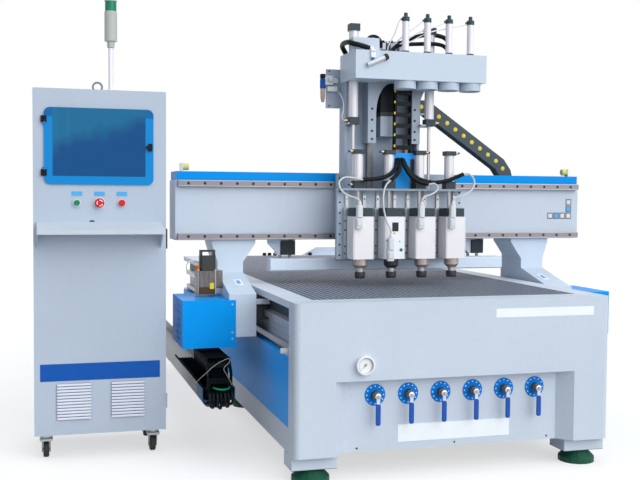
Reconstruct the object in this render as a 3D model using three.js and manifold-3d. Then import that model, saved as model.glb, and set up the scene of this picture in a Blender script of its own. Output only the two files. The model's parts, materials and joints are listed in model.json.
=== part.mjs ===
// A woodworking machining center: a vacuum table on a welded bed, a travelling gantry with a
// head of four lifting spindles under a dust manifold, and a control cabinet on casters.
// Millimetres, X to the right, Y to the back and Z up, with the floor at z = 0.
// The model is laid out from the gantry's middle in X and the bed's front face in Y.
import * as THREE from 'three';
import { mergeVertices } from 'three/addons/utils/BufferGeometryUtils.js';
import Module from 'manifold-3d';

const wasm = await Module();
wasm.setup();

// Clearances and fineness
const seatGap = 0.3;
const runGap = 0.6;
const cutOverrun = 4;
const roundSides = 20;
const mediumSides = 16;
const smallSides = 10;
const arcSegments = 5;
const smallArcSegments = 2;

// Bed and table
const bedWidth = 1470;
const bedLength = 3150;
const tableTop = 765;
const tableThickness = 30;
const gridSideMargin = 107;
const gridFrontMargin = 25;
const gridRearMargin = 60;
const gridColumnCount = 4;
const gridRowCount = 8;
const grooveWidth = 14;
const grooveDepth = 8;
const rearStopHeight = 57;
const rearStopThickness = 6;
const rearStopStart = 142;
const rearStopSlope = 110;

const panelDepth = 100;
const panelWall = 8;
const panelEdgeRadius = 28;
const recessSideMargin = 177;
const recessDepth = 60;
const recessTop = 433;

const footHeight = 60;
const footRadius = 82;
const footNeckRadius = 45;
const footRimHeight = 22;
const legWidth = 198;
const legDepth = 130;
const frontLegAdvance = 60;
const middleLegInset = 45;
const bumpStopRadius = 12;
const bumpStopReach = 74;
const bumpStopHeight = 553;
const floorBeamBottom = 118;
const floorBeamHeight = 112;
const floorBeamWidth = 120;
const sideBeamInset = 45;
const sideBeamWidth = 130;
const sideBeamBottom = 540;
const crossTubeWidth = 90;
const crossTubeHeight = 85;
const bayShares = [0, 0.5, 1];
const sideSheet = 4;
const sideSheetTop = 528;
const sideSheetLip = 26;

const railWidth = 30;
const railHeight = 28;
const yRailHeight = 655;
const rackSize = 25;
const rackHeight = 557;
const railEndMargin = 10;

// Vacuum valves and gauge in the front panel
const valveCount = 6;
const valvePitch = 151;
const valveHeight = 360;
const valveRowOffset = 13;
const valveStemRadius = 19;
const valveStemReach = 40;
const vacuumPipeRadius = 38;
const vacuumPipeBehind = 12;
const leverLength = 124;
const leverThickness = 5;
const leverWidth = 16;
const leverHubRadius = 15;
const gripLength = 88;
const gripWidth = 25;
const gripThickness = 13;
const gaugeRadius = 40;
const gaugeDepth = 26;
const gaugeRim = 4;
const gaugeDialDepth = 10;
const gaugeInset = 301;
const gaugeHeight = 502;
const needleLength = 30;
const needleTail = 9;
const needleWidth = 3;
const needleThickness = 1.6;
const needleHubRadius = 5;
const needleAngle = -2.36;

// Cable tray and drag chains
const trayGap = 158;
const trayWidth = 150;
const trayBottom = 285;
const trayWallHeight = 58;
const traySheet = 4;
const trayFront = 450;
const trayRear = 2900;
const trayArmWidth = 60;
const linkPlate = 5;
const linkBar = 5;
const floorChainWidth = 108;
const floorChainHeight = 42;
const floorChainPitch = 60;
const floorChainBendCount = 4;
const floorChainFront = 470;
const floorChainFixedCount = 17;
const floorChainMovingCount = 5;
const headChainWidth = 88;
const headChainDepth = 38;
const headChainPitch = 54;
const headChainCount = 6;
const beamChainWidth = 75;
const beamChainHeight = 72;
const beamChainPitch = 60;
const beamChainOverhang = 16;
const beamChainSlant = 0.597;
const beamChainSlantCount = 8;
const beamChainFlatCount = 3;
const beamChainBendCount = 7;
const beamChainLowCount = 6;

// Gantry
const beamOverhang = 208;
const beamFront = 909;
const beamDepth = 211;
const beamBottom = 985;
const beamHeight = 293;
const beamWall = 12;
const beamWindowCount = 3;
const beamWindowWidth = 320;
const beamWindowHeight = 130;
const beamWindowRadius = 40;
const upperRailHeight = 1263;
const lowerRailHeight = 1004;
const coverHeight = 43;
const coverSheet = 4;
const coverEndInset = 6;
const bumperRadius = 17;
const bumperLength = 30;
const bumperPostHeight = 40;
const bumperPostThickness = 12;

const columnGap = 29;
const columnWidth = 128;
const columnRear = 1150;
const columnFoot = 600;
const columnBottom = 548;
const columnSlopeLow = 747;
const columnSlopeHigh = 826;
const columnFlangeThickness = 18;
const columnFlangeOuter = 28;
const columnFlangeInner = 62;
const columnFlareDrop = 90;
const columnRecess = 40;
const blockLength = 110;
const blockWidth = 60;
const blockHeadroom = 12;
const motorCoverWidth = 247;
const motorCoverLap = 31;
const motorCoverHeight = 220;
const motorCoverBottom = 501;
const motorCoverDepth = 340;
const motorCoverSheet = 4;
const louverCount = 6;
const louverLength = 150;
const louverHeight = 8;
const motorSize = 110;
const motorLength = 170;
const gearboxRadius = 52;

const pumpStandOff = 33;
const pumpMiddle = 800;
const pumpWidth = 92;
const pumpDepth = 95;
const pumpBottom = 733;
const pumpTankHeight = 112;
const pumpHeadWidth = 74;
const pumpHeadHeight = 70;
const pumpCapRadius = 15;
const pumpCapHeight = 14;
const pumpGripRise = 28;

const pusherEndGap = 132;
const pusherFront = 875;
const pusherDepth = 85;
const pusherBottom = 829;
const pusherHeight = 62;
const pusherChamfer = 6;
const pusherStroke = 55;
const pusherGuideAcross = 525;
const pusherGuideMiddle = 1015;
const pusherBodyWidth = 90;
const pusherBodyDepth = 84;
const pusherBodyBottom = 904;
const pusherRodRadius = 9;
const pusherRodSpread = 26;
const pusherLugHeight = 14;
const pusherGussetReach = 58;
const pusherGussetThickness = 10;

// Carriage: the saddle plate, its column and the vertical rails
const saddleLeft = -301;
const saddleRight = 335;
const saddleBack = 865;
const saddleThickness = 25;
const saddleBottom = 880;
const saddleTop = 1318;
const towerLeft = -283;
const towerRight = 111;
const towerTop = 1768;
const cheekThickness = 12;
const cheekFront = 775;
const cheekBottom = 1240;
const zRailMiddle = -36;
const zRailSpread = 100;
const zRailBottom = 888;
const zRailTop = 1500;
const bracketLefts = [-169, 57];
const bracketFront = 757;
const bracketThickness = 13;
const bracketBottom = 1470;
const bracketWidth = 43;
const bracketFlare = 82;
const bracketFlareHeight = 150;
const zMotorAcross = -55;
const zMotorSize = 86;
const zMotorBottom = 1605;
const zMotorTop = 1973;
const zMotorEndHeight = 60;
const zMotorSeatHeight = 100;
const airPlateLeft = -353;
const airPlateRight = -150;
const airPlateThickness = 12;
const airPlateBottom = 1645;
const airPlateTop = 1838;
const chainArmLeft = 10;
const chainShelfRight = 284;
const chainShelfHeight = 1650;
const chainShelfThickness = 8;
const chainShelfFront = 1130;
const chainShelfBack = 1220;
const balanceAcross = [-250, 151];
const balanceMiddle = 745;
const balanceRadius = 22;
const balanceCapSize = 50;
const balanceCapHeight = 35;
const balanceBottom = 1558;
const balanceTop = 2047;
const balanceRodRadius = 8;
const balanceRodTop = 1660;
const balancePlate = 8;

// Dust manifold on the column
const hoodLeft = -286;
const hoodRight = 394;
const hoodFront = 600;
const hoodBack = 850;
const hoodTop = 1903;
const hoodSheet = 5;
const ductDepth = 115;
const portCount = 4;
const portPitch = 114.5;
const portFirst = -13;
const portOuterRadius = 53;
const portWall = 4;
const portLength = 39;
const gateThickness = 6;
const gateHeadroom = 53;
const gateRodRadius = 5;
const gateRodLength = 150;
const gateCylinderRadius = 15;
const gateCylinderHeight = 143;
const gateCapHeight = 20;
const gateCapRadius = 9;
const plenumWidth = 134;
const plenumFront = 645;
const plenumBack = 712;
const plenumHeight = 65;
const outletAcross = 262;
const outletRadius = 50;
const outletLength = 60;
const tiltedRadius = 12;
const tiltedSink = 2;
const tiltedFrom = [-231, 1831];
const tiltedTo = [-128, 1876];

// Z plate and the four spindles
const zPlateHalfWidth = 330;
const zPlateFront = 735;
const zPlateThickness = 20;
const zPlateBottom = 895;
const zPlateTop = 1234;
const zShelfThickness = 10;
const zShelfFront = 655;
const spindleCount = 4;
const spindlePitch = 160;
const spindleWidth = 105;
const spindleFront = 595;
const spindleDepth = 105;
const spindleBottom = 902;
const spindleHeight = 206;
const spindleEdgeRadius = 9;
const spindleCapHeight = 41;
const noseRadius = 36;
const noseHeight = 45;
const shaftRadius = 17;
const shaftExposed = 18;
const shaftBoreDepth = 42;
const nutRadius = 26;
const nutHeight = 31;
const toolBoreRadius = 6;
const toolBoreDepth = 24;
const slideWidth = 130;
const slideThickness = 12;
const slideTop = 1150;
const slideRailWidth = 15;
const slideRailHeight = 12;
const slideRailSpread = 45;
const slideBlockWidth = 30;
const slideBlockLength = 60;
const slideBlockClear = 3;
const liftMiddle = 690;
const liftCapSize = 52;
const liftCapHeight = 38;
const liftBarrelRadius = 23;
const liftTop = 1433;
const liftTopCapHeight = 22;
const liftRodRadius = 9;
const liftRodTop = 1300;
const liftLugWidth = 36;
const liftLugHeight = 22;
const liftStroke = 80;
const hangerLeft = -48;
const hangerWidth = 82;
const hangerTopWidth = 116;
const hangerThickness = 12;
const hangerTop = 1421;
const hangerHeadHeight = 30;
const hangerFront = 702;

// Control cabinet
const cabinetGap = 67;
const cabinetWidth = 587;
const cabinetFront = 670;
const cabinetDepth = 450;
const cabinetBottom = 118;
const cabinetTop = 1675;
const cabinetWall = 14;
const cabinetShelfHeight = 1232;
const windowLeftInset = 48;
const windowRightInset = 58;
const windowBottom = 1249;
const windowTop = 1591;
const windowThickness = 8;
const windowLap = 24;
const windowRadius = 26;
const hingeLength = 26;
const hingeRadius = 6;
const hingeInset = 52;
const windowKnobShare = 1.4;
const monitorWidth = 422;
const monitorHeight = 255;
const monitorDepth = 42;
const monitorLift = 46;
const monitorSetback = 45;
const monitorFootWidth = 190;
const monitorFootDepth = 130;
const monitorFootThickness = 10;
const monitorNeckWidth = 60;
const monitorNeckDepth = 26;
const shelfInset = 15;
const shelfReach = 150;
const shelfBack = 1080;
const shelfFall = 30;
const shelfLip = 20;
const shelfSheet = 4;
const shelfBracketDrop = 118;
const shelfFlange = 40;
const buttonHeight = 1167;
const buttonSpacing = 99;
const buttonInset = 288;
const buttonStemRadius = 8;
const buttonStemLength = 26;
const buttonStroke = 4;
const buttonStandOff = 9;
const startRadius = 13;
const stopRadius = 15;
const buttonCapHeight = 7;
const buttonCrownShare = 0.8;
const emergencyRadius = 21;
const emergencyCapHeight = 20;
const collarHeight = 4;
const collarRadius = 22;
const ventWidth = 147;
const ventHeight = 163;
const ventBottom = 188;
const ventMiddleSpread = 120;
const ventFrame = 8;
const ventProud = 6;
const ventSlatCount = 5;
const ventSlatHeight = 12;
const rearDoorThickness = 16;
const rearDoorMargin = 6;
const rearHingeRadius = 7;
const rearHingeLength = 60;
const rearHingeInset = 160;
const doorHandleHeight = 150;
const doorHandleWidth = 24;
const doorHandleDepth = 18;
const lockHeight = 1002;
const lockLength = 93;
const lockThickness = 10;
const lockWidth = 22;
const lockInset = 40;
const lockHubRadius = 12;
const latchHeight = 66;
const latchBottom = 215;
const latchWidth = 24;
const latchProud = 8;
const casterInset = 52;
const casterFrontInset = 72;
const casterTrail = 22;
const casterWheelRadius = 37;
const casterWheelWidth = 26;
const casterPlateRadius = 32;
const casterPlateThickness = 7;
const casterCheek = 5;
const casterAxleRadius = 6;
const eyeRadius = 20;
const eyeBar = 6;
const eyeStem = 14;

// Signal tower
const towerInset = 356;
const poleRadius = 12;
const poleTop = 1912;
const poleFootRadius = 32;
const poleFootHeight = 10;
const lampRadius = 29.5;
const lampNeckHeight = 14;
const lampBodyHeight = 139;
const lensHeight = 48;
const lensGap = 5;
const lensCount = 3;
const lensRadius = 27;
const lampCapHeight = 17;
const lampCrownShare = 0.8;
const poleCollarShare = 1.5;

// Travels, which decide the room that moving pieces need
const zTravelUp = 140;

const finish = (color, roughness, metalness) => new THREE.MeshStandardMaterial({
  color, roughness, metalness, flatShading: true,
});
const paint = '#c6d3e4';
const cabinetPaint = '#bccadb';
const blue = '#1288e0';
const deepBlue = '#0f6cc0';
const steel = '#9c9ba3';
const darkSteel = '#565d66';
const silver = '#dcdde3';
const black = '#1b2326';
const cast = '#6f8496';

// Solids from three.js geometry
function volumeOf(vertices, triangles) {
  let sum = 0;
  for (let i = 0; i < triangles.length; i += 3) {
    const [a, b, c] = [0, 1, 2].map((k) => new THREE.Vector3().fromArray(vertices, 3 * triangles[i + k]));
    sum += a.dot(b.cross(c));
  }
  return sum;
}

function solidFrom(geometry) {
  const bare = geometry.clone();
  bare.deleteAttribute('normal');
  bare.deleteAttribute('uv');
  const merged = mergeVertices(bare);
  const vertProperties = new Float32Array(merged.attributes.position.array);
  const source = merged.index.array;
  const kept = [];
  for (let i = 0; i < source.length; i += 3) {
    const [a, b, c] = [source[i], source[i + 1], source[i + 2]];
    if (a !== b && b !== c && c !== a) kept.push(a, b, c);
  }
  if (volumeOf(vertProperties, kept) < 0) {
    for (let i = 0; i < kept.length; i += 3) [kept[i], kept[i + 1]] = [kept[i + 1], kept[i]];
  }
  const triVerts = new Uint32Array(kept);
  return new wasm.Manifold(new wasm.Mesh({ numProp: 3, vertProperties, triVerts }));
}

const join = (...solids) => solids.flat(Infinity).reduce((sum, solid) => sum.add(solid));
const cut = (solid, ...tools) => tools.flat(Infinity).reduce((rest, tool) => rest.subtract(tool), solid);

function box(x0, x1, y0, y1, z0, z1) {
  const geometry = new THREE.BoxGeometry(x1 - x0, y1 - y0, z1 - z0);
  geometry.translate((x0 + x1) / 2, (y0 + y1) / 2, (z0 + z1) / 2);
  return solidFrom(geometry);
}

// Mirrors the two ends of an X range to the other side of the machine
const sided = (side, x0, x1) => (side > 0 ? [x0, x1] : [-x1, -x0]);

// Turns the geometry's own axis to a machine axis and moves it there
function aim(geometry, axis, a, b) {
  if (axis === 'z') geometry.rotateX(Math.PI / 2).translate(a, b, 0);
  if (axis === 'x') geometry.rotateZ(-Math.PI / 2).translate(0, a, b);
  if (axis === 'y') geometry.translate(a, 0, b);
  return solidFrom(geometry);
}

function rod(axis, radius, from, to, a, b, sides = mediumSides, endRadius = radius) {
  const geometry = new THREE.CylinderGeometry(endRadius, radius, to - from, sides);
  geometry.translate(0, (from + to) / 2, 0);
  return aim(geometry, axis, a, b);
}

// A turned body about a machine axis: points are [radius, place along the axis]
function turned(axis, points, a, b, sides = mediumSides) {
  const profile = points.map(([radius, along]) => new THREE.Vector2(radius, along));
  return aim(new THREE.LatheGeometry(profile, sides), axis, a, b);
}

// An outline carried along a machine axis: (y, z) along x, (x, z) along y, (x, y) along z
function prism(axis, outline, from, to, segments = smallArcSegments) {
  const shape = Array.isArray(outline)
    ? new THREE.Shape(outline.map(([u, v]) => new THREE.Vector2(u, v))) : outline;
  const geometry = new THREE.ExtrudeGeometry(shape, {
    depth: to - from, bevelEnabled: false, curveSegments: segments,
  });
  geometry.translate(0, 0, from);
  const place = new THREE.Matrix4();
  if (axis === 'x') place.set(0, 0, 1, 0, 1, 0, 0, 0, 0, 1, 0, 0, 0, 0, 0, 1);
  if (axis === 'y') place.set(1, 0, 0, 0, 0, 0, 1, 0, 0, 1, 0, 0, 0, 0, 0, 1);
  geometry.applyMatrix4(place);
  return solidFrom(geometry);
}

function roundedOutline(u0, u1, v0, v1, radius) {
  const shape = new THREE.Shape();
  const quarter = Math.PI / 2;
  shape.moveTo(u0 + radius, v0);
  shape.lineTo(u1 - radius, v0);
  shape.absarc(u1 - radius, v0 + radius, radius, -quarter, 0, false);
  shape.lineTo(u1, v1 - radius);
  shape.absarc(u1 - radius, v1 - radius, radius, 0, quarter, false);
  shape.lineTo(u0 + radius, v1);
  shape.absarc(u0 + radius, v1 - radius, radius, quarter, Math.PI, false);
  shape.lineTo(u0, v0 + radius);
  shape.absarc(u0 + radius, v0 + radius, radius, Math.PI, 3 * quarter, false);
  return shape;
}

// The outline of a linear guide rail: [across, out of its seat]
const railWaistShare = 0.74;
const railFootShare = 0.36;
const railNeckShare = 0.52;
const railHeadShare = 0.72;
function railOutline(width, height) {
  const half = width / 2;
  const waist = half * railWaistShare;
  const left = [[-half, height], [-half, height * railHeadShare], [-waist, height * railNeckShare],
    [-half, height * railFootShare], [-half, 0]];
  const right = left.map(([across, out]) => [-across, out]).reverse();
  return [...left, ...right];
}

// A drag chain: two side bands along the links and a cross bar on each link.
// Each station is [u, v, angle] in the plane across the links' width.
const linkBarShare = 0.4;
function dragChain(axis, stations, pitch, height, low, high) {
  const half = height / 2;
  const angleAt = (k) => stations[Math.min(Math.max(k, 0), stations.length - 1)][2];
  const joints = [...stations, stations.at(-1)].map(([u, v, angle], k) => {
    const way = k < stations.length ? -pitch / 2 : pitch / 2;
    const lean = (angleAt(k - 1) + angleAt(k)) / 2;
    const reach = half / Math.cos((angleAt(k) - angleAt(k - 1)) / 2);
    return [u + way * Math.cos(angle), v + way * Math.sin(angle), lean, reach];
  });
  const edge = (side) => joints.map(([u, v, lean, reach]) => [
    u - side * reach * Math.sin(lean), v + side * reach * Math.cos(lean)]);
  const band = [...edge(1), ...edge(-1).reverse()];
  const barReach = pitch * linkBarShare / 2;
  const bars = stations.map(([u, v, angle]) => prism(axis, [[-barReach, half - linkBar], [barReach,
    half - linkBar],
    [barReach, half], [-barReach, half]].map(([p, q]) => [u + p * Math.cos(angle) - q * Math.sin(angle),
    v + p * Math.sin(angle) + q * Math.cos(angle)]), low + linkPlate / 2, high - linkPlate / 2));
  return join(prism(axis, band, low, low + linkPlate), prism(axis, band, high - linkPlate, high), bars);
}

// Follows a chain link by link: each turn is the angle at the joint before the next link
function chainPath(u, v, angle, turns, pitch) {
  const stations = [];
  for (const turn of turns) {
    angle += turn;
    u += pitch / 2 * Math.cos(angle);
    v += pitch / 2 * Math.sin(angle);
    stations.push([u, v, angle]);
    u += pitch / 2 * Math.cos(angle);
    v += pitch / 2 * Math.sin(angle);
  }
  return stations;
}

const machine = new THREE.Group();
function piece(name, solid, material) {
  const result = solid.getMesh();
  const geometry = new THREE.BufferGeometry();
  geometry.setAttribute('position', new THREE.BufferAttribute(new Float32Array(result.vertProperties), 3));
  geometry.setIndex(new THREE.BufferAttribute(new Uint32Array(result.triVerts), 1));
  geometry.computeVertexNormals();
  const mesh = new THREE.Mesh(geometry, material);
  mesh.name = name;
  machine.add(mesh);
  return mesh;
}

// Bed, and what keeps its place beside it
const halfWidth = bedWidth / 2;
const gridWidth = bedWidth - 2 * gridSideMargin;
const recessHalfWidth = halfWidth - recessSideMargin;
const gaugeAcross = gaugeInset - halfWidth;
const trayInner = halfWidth + trayGap;
const columnInner = halfWidth + columnGap;
const columnOuter = columnInner + columnWidth;
const beamHalfLength = columnOuter + beamOverhang;
const pusherHalfLength = columnInner - pusherEndGap;
const motorCoverOuter = columnOuter - motorCoverLap + motorCoverWidth;
const pumpAcross = columnOuter + pumpStandOff + pumpWidth / 2;
const cabinetRight = -motorCoverOuter - cabinetGap;
const cabinetLeft = cabinetRight - cabinetWidth;
const towerAcross = cabinetLeft + towerInset;
const buttonMiddle = cabinetLeft + buttonInset;
const tableBottom = tableTop - tableThickness;
const frameFront = panelDepth + seatGap;
const beamOuter = halfWidth - sideBeamInset;
const sheetInside = halfWidth - sideSheet - seatGap;
const floorBeamTop = floorBeamBottom + floorBeamHeight;
const railFace = beamOuter + railHeight;
const bayMiddles = bayShares.map((share) => frameFront + legDepth / 2
  + share * (bedLength - frameFront - legDepth));

function sideFrame(side) {
  const beamTop = tableBottom - seatGap;
  const span = (x0, x1, ...rest) => box(...sided(side, x0, x1), ...rest);
  const mirrored = (points) => points.map(([x, z]) => [side * x, z]);
  const rail = railOutline(railWidth, railHeight).map(([z, out]) => [beamOuter + out, yRailHeight + z]);
  const railFrom = frameFront + railEndMargin;
  const railTo = bedLength - railEndMargin;
  const parts = [
    span(beamOuter - sideBeamWidth, beamOuter, frameFront, bedLength, sideBeamBottom, beamTop),
    span(sheetInside - floorBeamWidth, sheetInside, frameFront, bedLength, floorBeamBottom, floorBeamTop),
    prism('y', mirrored(rail), railFrom, railTo),
    span(beamOuter, beamOuter + rackSize, railFrom, railTo, rackHeight - rackSize / 2,
      rackHeight + rackSize / 2),
    rod('x', bumpStopRadius, ...sided(side, beamOuter - cutOverrun, beamOuter + bumpStopReach),
      frameFront + bumpStopRadius * 2, bumpStopHeight, smallSides),
  ];
  bayMiddles.forEach((middle, index) => {
    const advance = index === 0 ? frontLegAdvance : 0;
    const legFrom = middle - legDepth / 2;
    const legTo = middle + legDepth / 2;
    const inset = index === 1 ? middleLegInset : 0;
    const footAcross = side * (halfWidth - legWidth / 2 - inset);
    parts.push(span(sheetInside - floorBeamWidth, sheetInside, legFrom, legTo, floorBeamTop,
      sideBeamBottom));
    parts.push(span(halfWidth - legWidth, halfWidth - inset, legFrom - advance, legTo - advance, footHeight,
      floorBeamBottom));
    parts.push(turned('z', [[0, 0], [footRadius, 0], [footRadius, footRimHeight],
      [footNeckRadius, footHeight], [0, footHeight]], footAcross, middle - advance));
  });
  return parts;
}

function makeBedFrame() {
  const inner = beamOuter - sideBeamWidth;
  const lowInner = sheetInside - floorBeamWidth;
  const crossTop = tableBottom - seatGap;
  const ties = bayMiddles.map((middle) => [
    box(-inner, inner, middle - crossTubeWidth / 2, middle + crossTubeWidth / 2,
      crossTop - crossTubeHeight, crossTop),
    box(-lowInner, lowInner, middle - crossTubeWidth / 2, middle + crossTubeWidth / 2,
      floorBeamBottom, floorBeamBottom + crossTubeHeight),
  ]);
  piece('bed_frame', join(sideFrame(-1), sideFrame(1), ties), finish(paint, 0.55, 0.2));
}

function makeFrontPanel() {
  const bottom = floorBeamBottom + seatGap;
  const cornered = (inset, back) => {
    const radius = panelEdgeRadius - inset;
    const shape = new THREE.Shape();
    shape.moveTo(-halfWidth + inset, back);
    shape.lineTo(-halfWidth + inset, inset + radius);
    shape.absarc(-halfWidth + inset + radius, inset + radius, radius, Math.PI, 1.5 * Math.PI, false);
    shape.absarc(halfWidth - inset - radius, inset + radius, radius, 1.5 * Math.PI, 2 * Math.PI, false);
    shape.lineTo(halfWidth - inset, back);
    return shape;
  };
  const shell = cut(prism('z', cornered(0, panelDepth), bottom, tableTop, arcSegments),
    prism('z', cornered(panelWall, panelDepth + cutOverrun), bottom - cutOverrun, tableTop - panelWall,
      arcSegments));
  const trough = (grow, drop) => {
    const rim = recessHalfWidth + grow;
    const flat = rim - recessDepth;
    const back = recessDepth + grow;
    return prism('z', [[-rim, -drop], [-rim, 0], [-flat, back], [flat, back], [rim, 0], [rim, -drop]],
      bottom - (grow === 0 ? cutOverrun : 0), recessTop + grow);
  };
  const skin = trough(panelWall, 0);
  const holes = valvePlaces.map((across) => rod('y', valveStemRadius + runGap * 2,
    recessDepth - cutOverrun, recessDepth + panelWall + cutOverrun, across, valveHeight, smallSides));
  piece('front_panel', cut(join(shell, skin), trough(0, cutOverrun), holes), finish(paint, 0.45, 0.1));
}

function makeTable() {
  const rear = bedLength;
  const plate = box(-halfWidth, halfWidth, frameFront, rear, tableBottom, tableTop);
  const half = gridWidth / 2;
  const front = frameFront + gridFrontMargin;
  const back = rear - gridRearMargin;
  const grooves = [];
  for (let i = 0; i <= gridColumnCount; i += 1) {
    const x = -half + (gridWidth - grooveWidth) * i / gridColumnCount;
    grooves.push(box(x, x + grooveWidth, front, back, tableTop - grooveDepth, tableTop + cutOverrun));
  }
  for (let j = 0; j <= gridRowCount; j += 1) {
    const y = front + (back - front - grooveWidth) * j / gridRowCount;
    grooves.push(box(-half, half, y, y + grooveWidth, tableTop - grooveDepth, tableTop + cutOverrun));
  }
  const stop = prism('y', [[rearStopStart, tableTop - seatGap], [rearStopStart, tableTop],
    [rearStopStart + rearStopSlope, tableTop + rearStopHeight], [halfWidth, tableTop + rearStopHeight],
    [halfWidth, tableTop - seatGap]], rear - rearStopThickness, rear);
  piece('vacuum_table', join(cut(plate, join(grooves)), stop), finish('#a9adc0', 0.6, 0.15));
}

function makeSidePanel(name, side) {
  const lipIn = halfWidth - sideSheetLip;
  const outline = [[halfWidth, floorBeamTop + seatGap], [halfWidth, sideSheetTop],
    [lipIn, sideSheetTop], [lipIn, sideSheetTop - sideSheet], [halfWidth - sideSheet,
      sideSheetTop - sideSheet],
    [halfWidth - sideSheet, floorBeamTop + seatGap]].map(([x, z]) => [side * x, z]);
  const sheet = prism('y', outline, frameFront, bedLength);
  const room = bayMiddles.map((middle) => box(...sided(side, 0, sheetInside + seatGap),
    middle - legDepth / 2 - seatGap, middle + legDepth / 2 + seatGap, sideSheetTop - sideSheetLip,
      sideSheetTop + cutOverrun));
  piece(name, cut(sheet, room), finish(deepBlue, 0.4, 0.1));
}

// Vacuum valves
const valvePlaces = Array.from({ length: valveCount }, (_, k) => valveRowOffset
  + (k - (valveCount - 1) / 2) * valvePitch);
const stemEnd = recessDepth - valveStemReach;

function makeVacuumManifold() {
  const pipeMiddle = recessDepth + panelWall + vacuumPipeBehind + vacuumPipeRadius;
  const reach = valvePitch * (valveCount - 1) / 2 + valvePitch / 2;
  const stems = valvePlaces.map((across) => join(
    rod('y', valveStemRadius, stemEnd + leverThickness * 2, pipeMiddle, across, valveHeight, smallSides),
    rod('y', leverHubRadius - leverThickness, stemEnd, pipeMiddle, across, valveHeight, smallSides)));
  const pipe = rod('x', vacuumPipeRadius, valveRowOffset - reach, valveRowOffset + reach, pipeMiddle,
    valveHeight);
  const hangers = [-1, 1].map((side) => box(valveRowOffset + side * reach / 2 - legDepth / 4,
    valveRowOffset + side * reach / 2 + legDepth / 4, pipeMiddle, pipeMiddle + vacuumPipeRadius,
    floorBeamBottom + crossTubeHeight + seatGap, valveHeight));
  piece('vacuum_manifold', join(pipe, stems, hangers), finish(steel, 0.4, 0.8));
}

function makeLevers() {
  valvePlaces.forEach((across, k) => {
    const low = valveHeight - leverLength;
    const rear = stemEnd - seatGap;
    const front = rear - leverThickness;
    const middle = (front + rear) / 2;
    const arm = box(across - leverWidth / 2, across + leverWidth / 2, front, rear, low + gripWidth,
      valveHeight);
    const hub = rod('y', leverHubRadius, front, rear, across, valveHeight, smallSides);
    const grip = prism('y', roundedOutline(across - gripWidth / 2, across + gripWidth / 2, low,
      low + gripLength,
      gripWidth / 3), middle - gripThickness / 2, middle + gripThickness / 2);
    piece(`valve_lever_${k + 1}`, join(arm, hub, grip), finish(deepBlue, 0.45, 0.1));
  });
}

function makeGauge() {
  const back = -seatGap;
  const dial = gaugeDialDepth - gaugeDepth;
  const body = cut(rod('y', gaugeRadius, -gaugeDepth, back, gaugeAcross, gaugeHeight),
    rod('y', gaugeRadius - gaugeRim, -gaugeDepth - cutOverrun, dial, gaugeAcross, gaugeHeight));
  piece('vacuum_gauge', body, finish(silver, 0.25, 0.8));
  const needleBack = dial - seatGap;
  const needleFront = needleBack - needleThickness;
  const [along, up] = [Math.cos(needleAngle), Math.sin(needleAngle)];
  const pointer = prism('y', [[-needleTail, -needleWidth / 2], [-needleTail, needleWidth / 2],
    [needleLength, 0]]
    .map(([u, v]) => [gaugeAcross + u * along - v * up, gaugeHeight + u * up + v * along]), needleFront,
      needleBack);
  const hub = rod('y', needleHubRadius, needleFront - needleThickness, needleBack, gaugeAcross,
    gaugeHeight, smallSides);
  piece('gauge_needle', join(pointer, hub), finish(black, 0.5, 0.2));
}

// Cable tray on arms from the bed, with the long drag chain in it
const trayOuter = trayInner + trayWidth;
function makeTray() {
  const top = trayBottom + trayWallHeight;
  const outline = [[-trayOuter, trayBottom], [-trayInner, trayBottom], [-trayInner, top],
    [-trayInner - traySheet, top], [-trayInner - traySheet, trayBottom + traySheet],
    [traySheet - trayOuter, trayBottom + traySheet], [traySheet - trayOuter, top], [-trayOuter, top]];
  const arms = bayMiddles.map((middle) => {
    const from = Math.max(middle - trayArmWidth / 2, trayFront);
    const to = Math.min(middle + trayArmWidth / 2, trayRear);
    return from < to ? [box(-trayOuter, -halfWidth - seatGap, from, to, trayBottom - traySheet,
      trayBottom)] : [];
  });
  const rearArm = box(-trayOuter, -halfWidth - seatGap, trayRear - trayArmWidth, trayRear,
    trayBottom - traySheet, trayBottom);
  piece('cable_tray', join(prism('y', outline, trayFront, trayRear), arms, rearArm), finish('#7d7a84',
    0.5, 0.5));
}

function makeFloorChain() {
  const low = trayBottom + traySheet + seatGap + floorChainHeight / 2;
  const from = floorChainFront + floorChainFixedCount * floorChainPitch;
  const turns = [...Array(floorChainFixedCount).fill(0),
    ...Array(floorChainBendCount).fill(-Math.PI / floorChainBendCount),
    ...Array(floorChainMovingCount).fill(0)];
  const stations = chainPath(from, low, Math.PI, turns, floorChainPitch);
  const middle = trayInner + trayWidth / 2;
  piece('y_drag_chain', dragChain('x', stations, floorChainPitch, floorChainHeight,
    -middle - floorChainWidth / 2, floorChainWidth / 2 - middle), finish(black, 0.6, 0));
}

// Gantry
const beamBack = beamFront + beamDepth;
const beamTop = beamBottom + beamHeight;
const pusherBodyFront = pusherGuideMiddle - pusherBodyDepth / 2;

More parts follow.
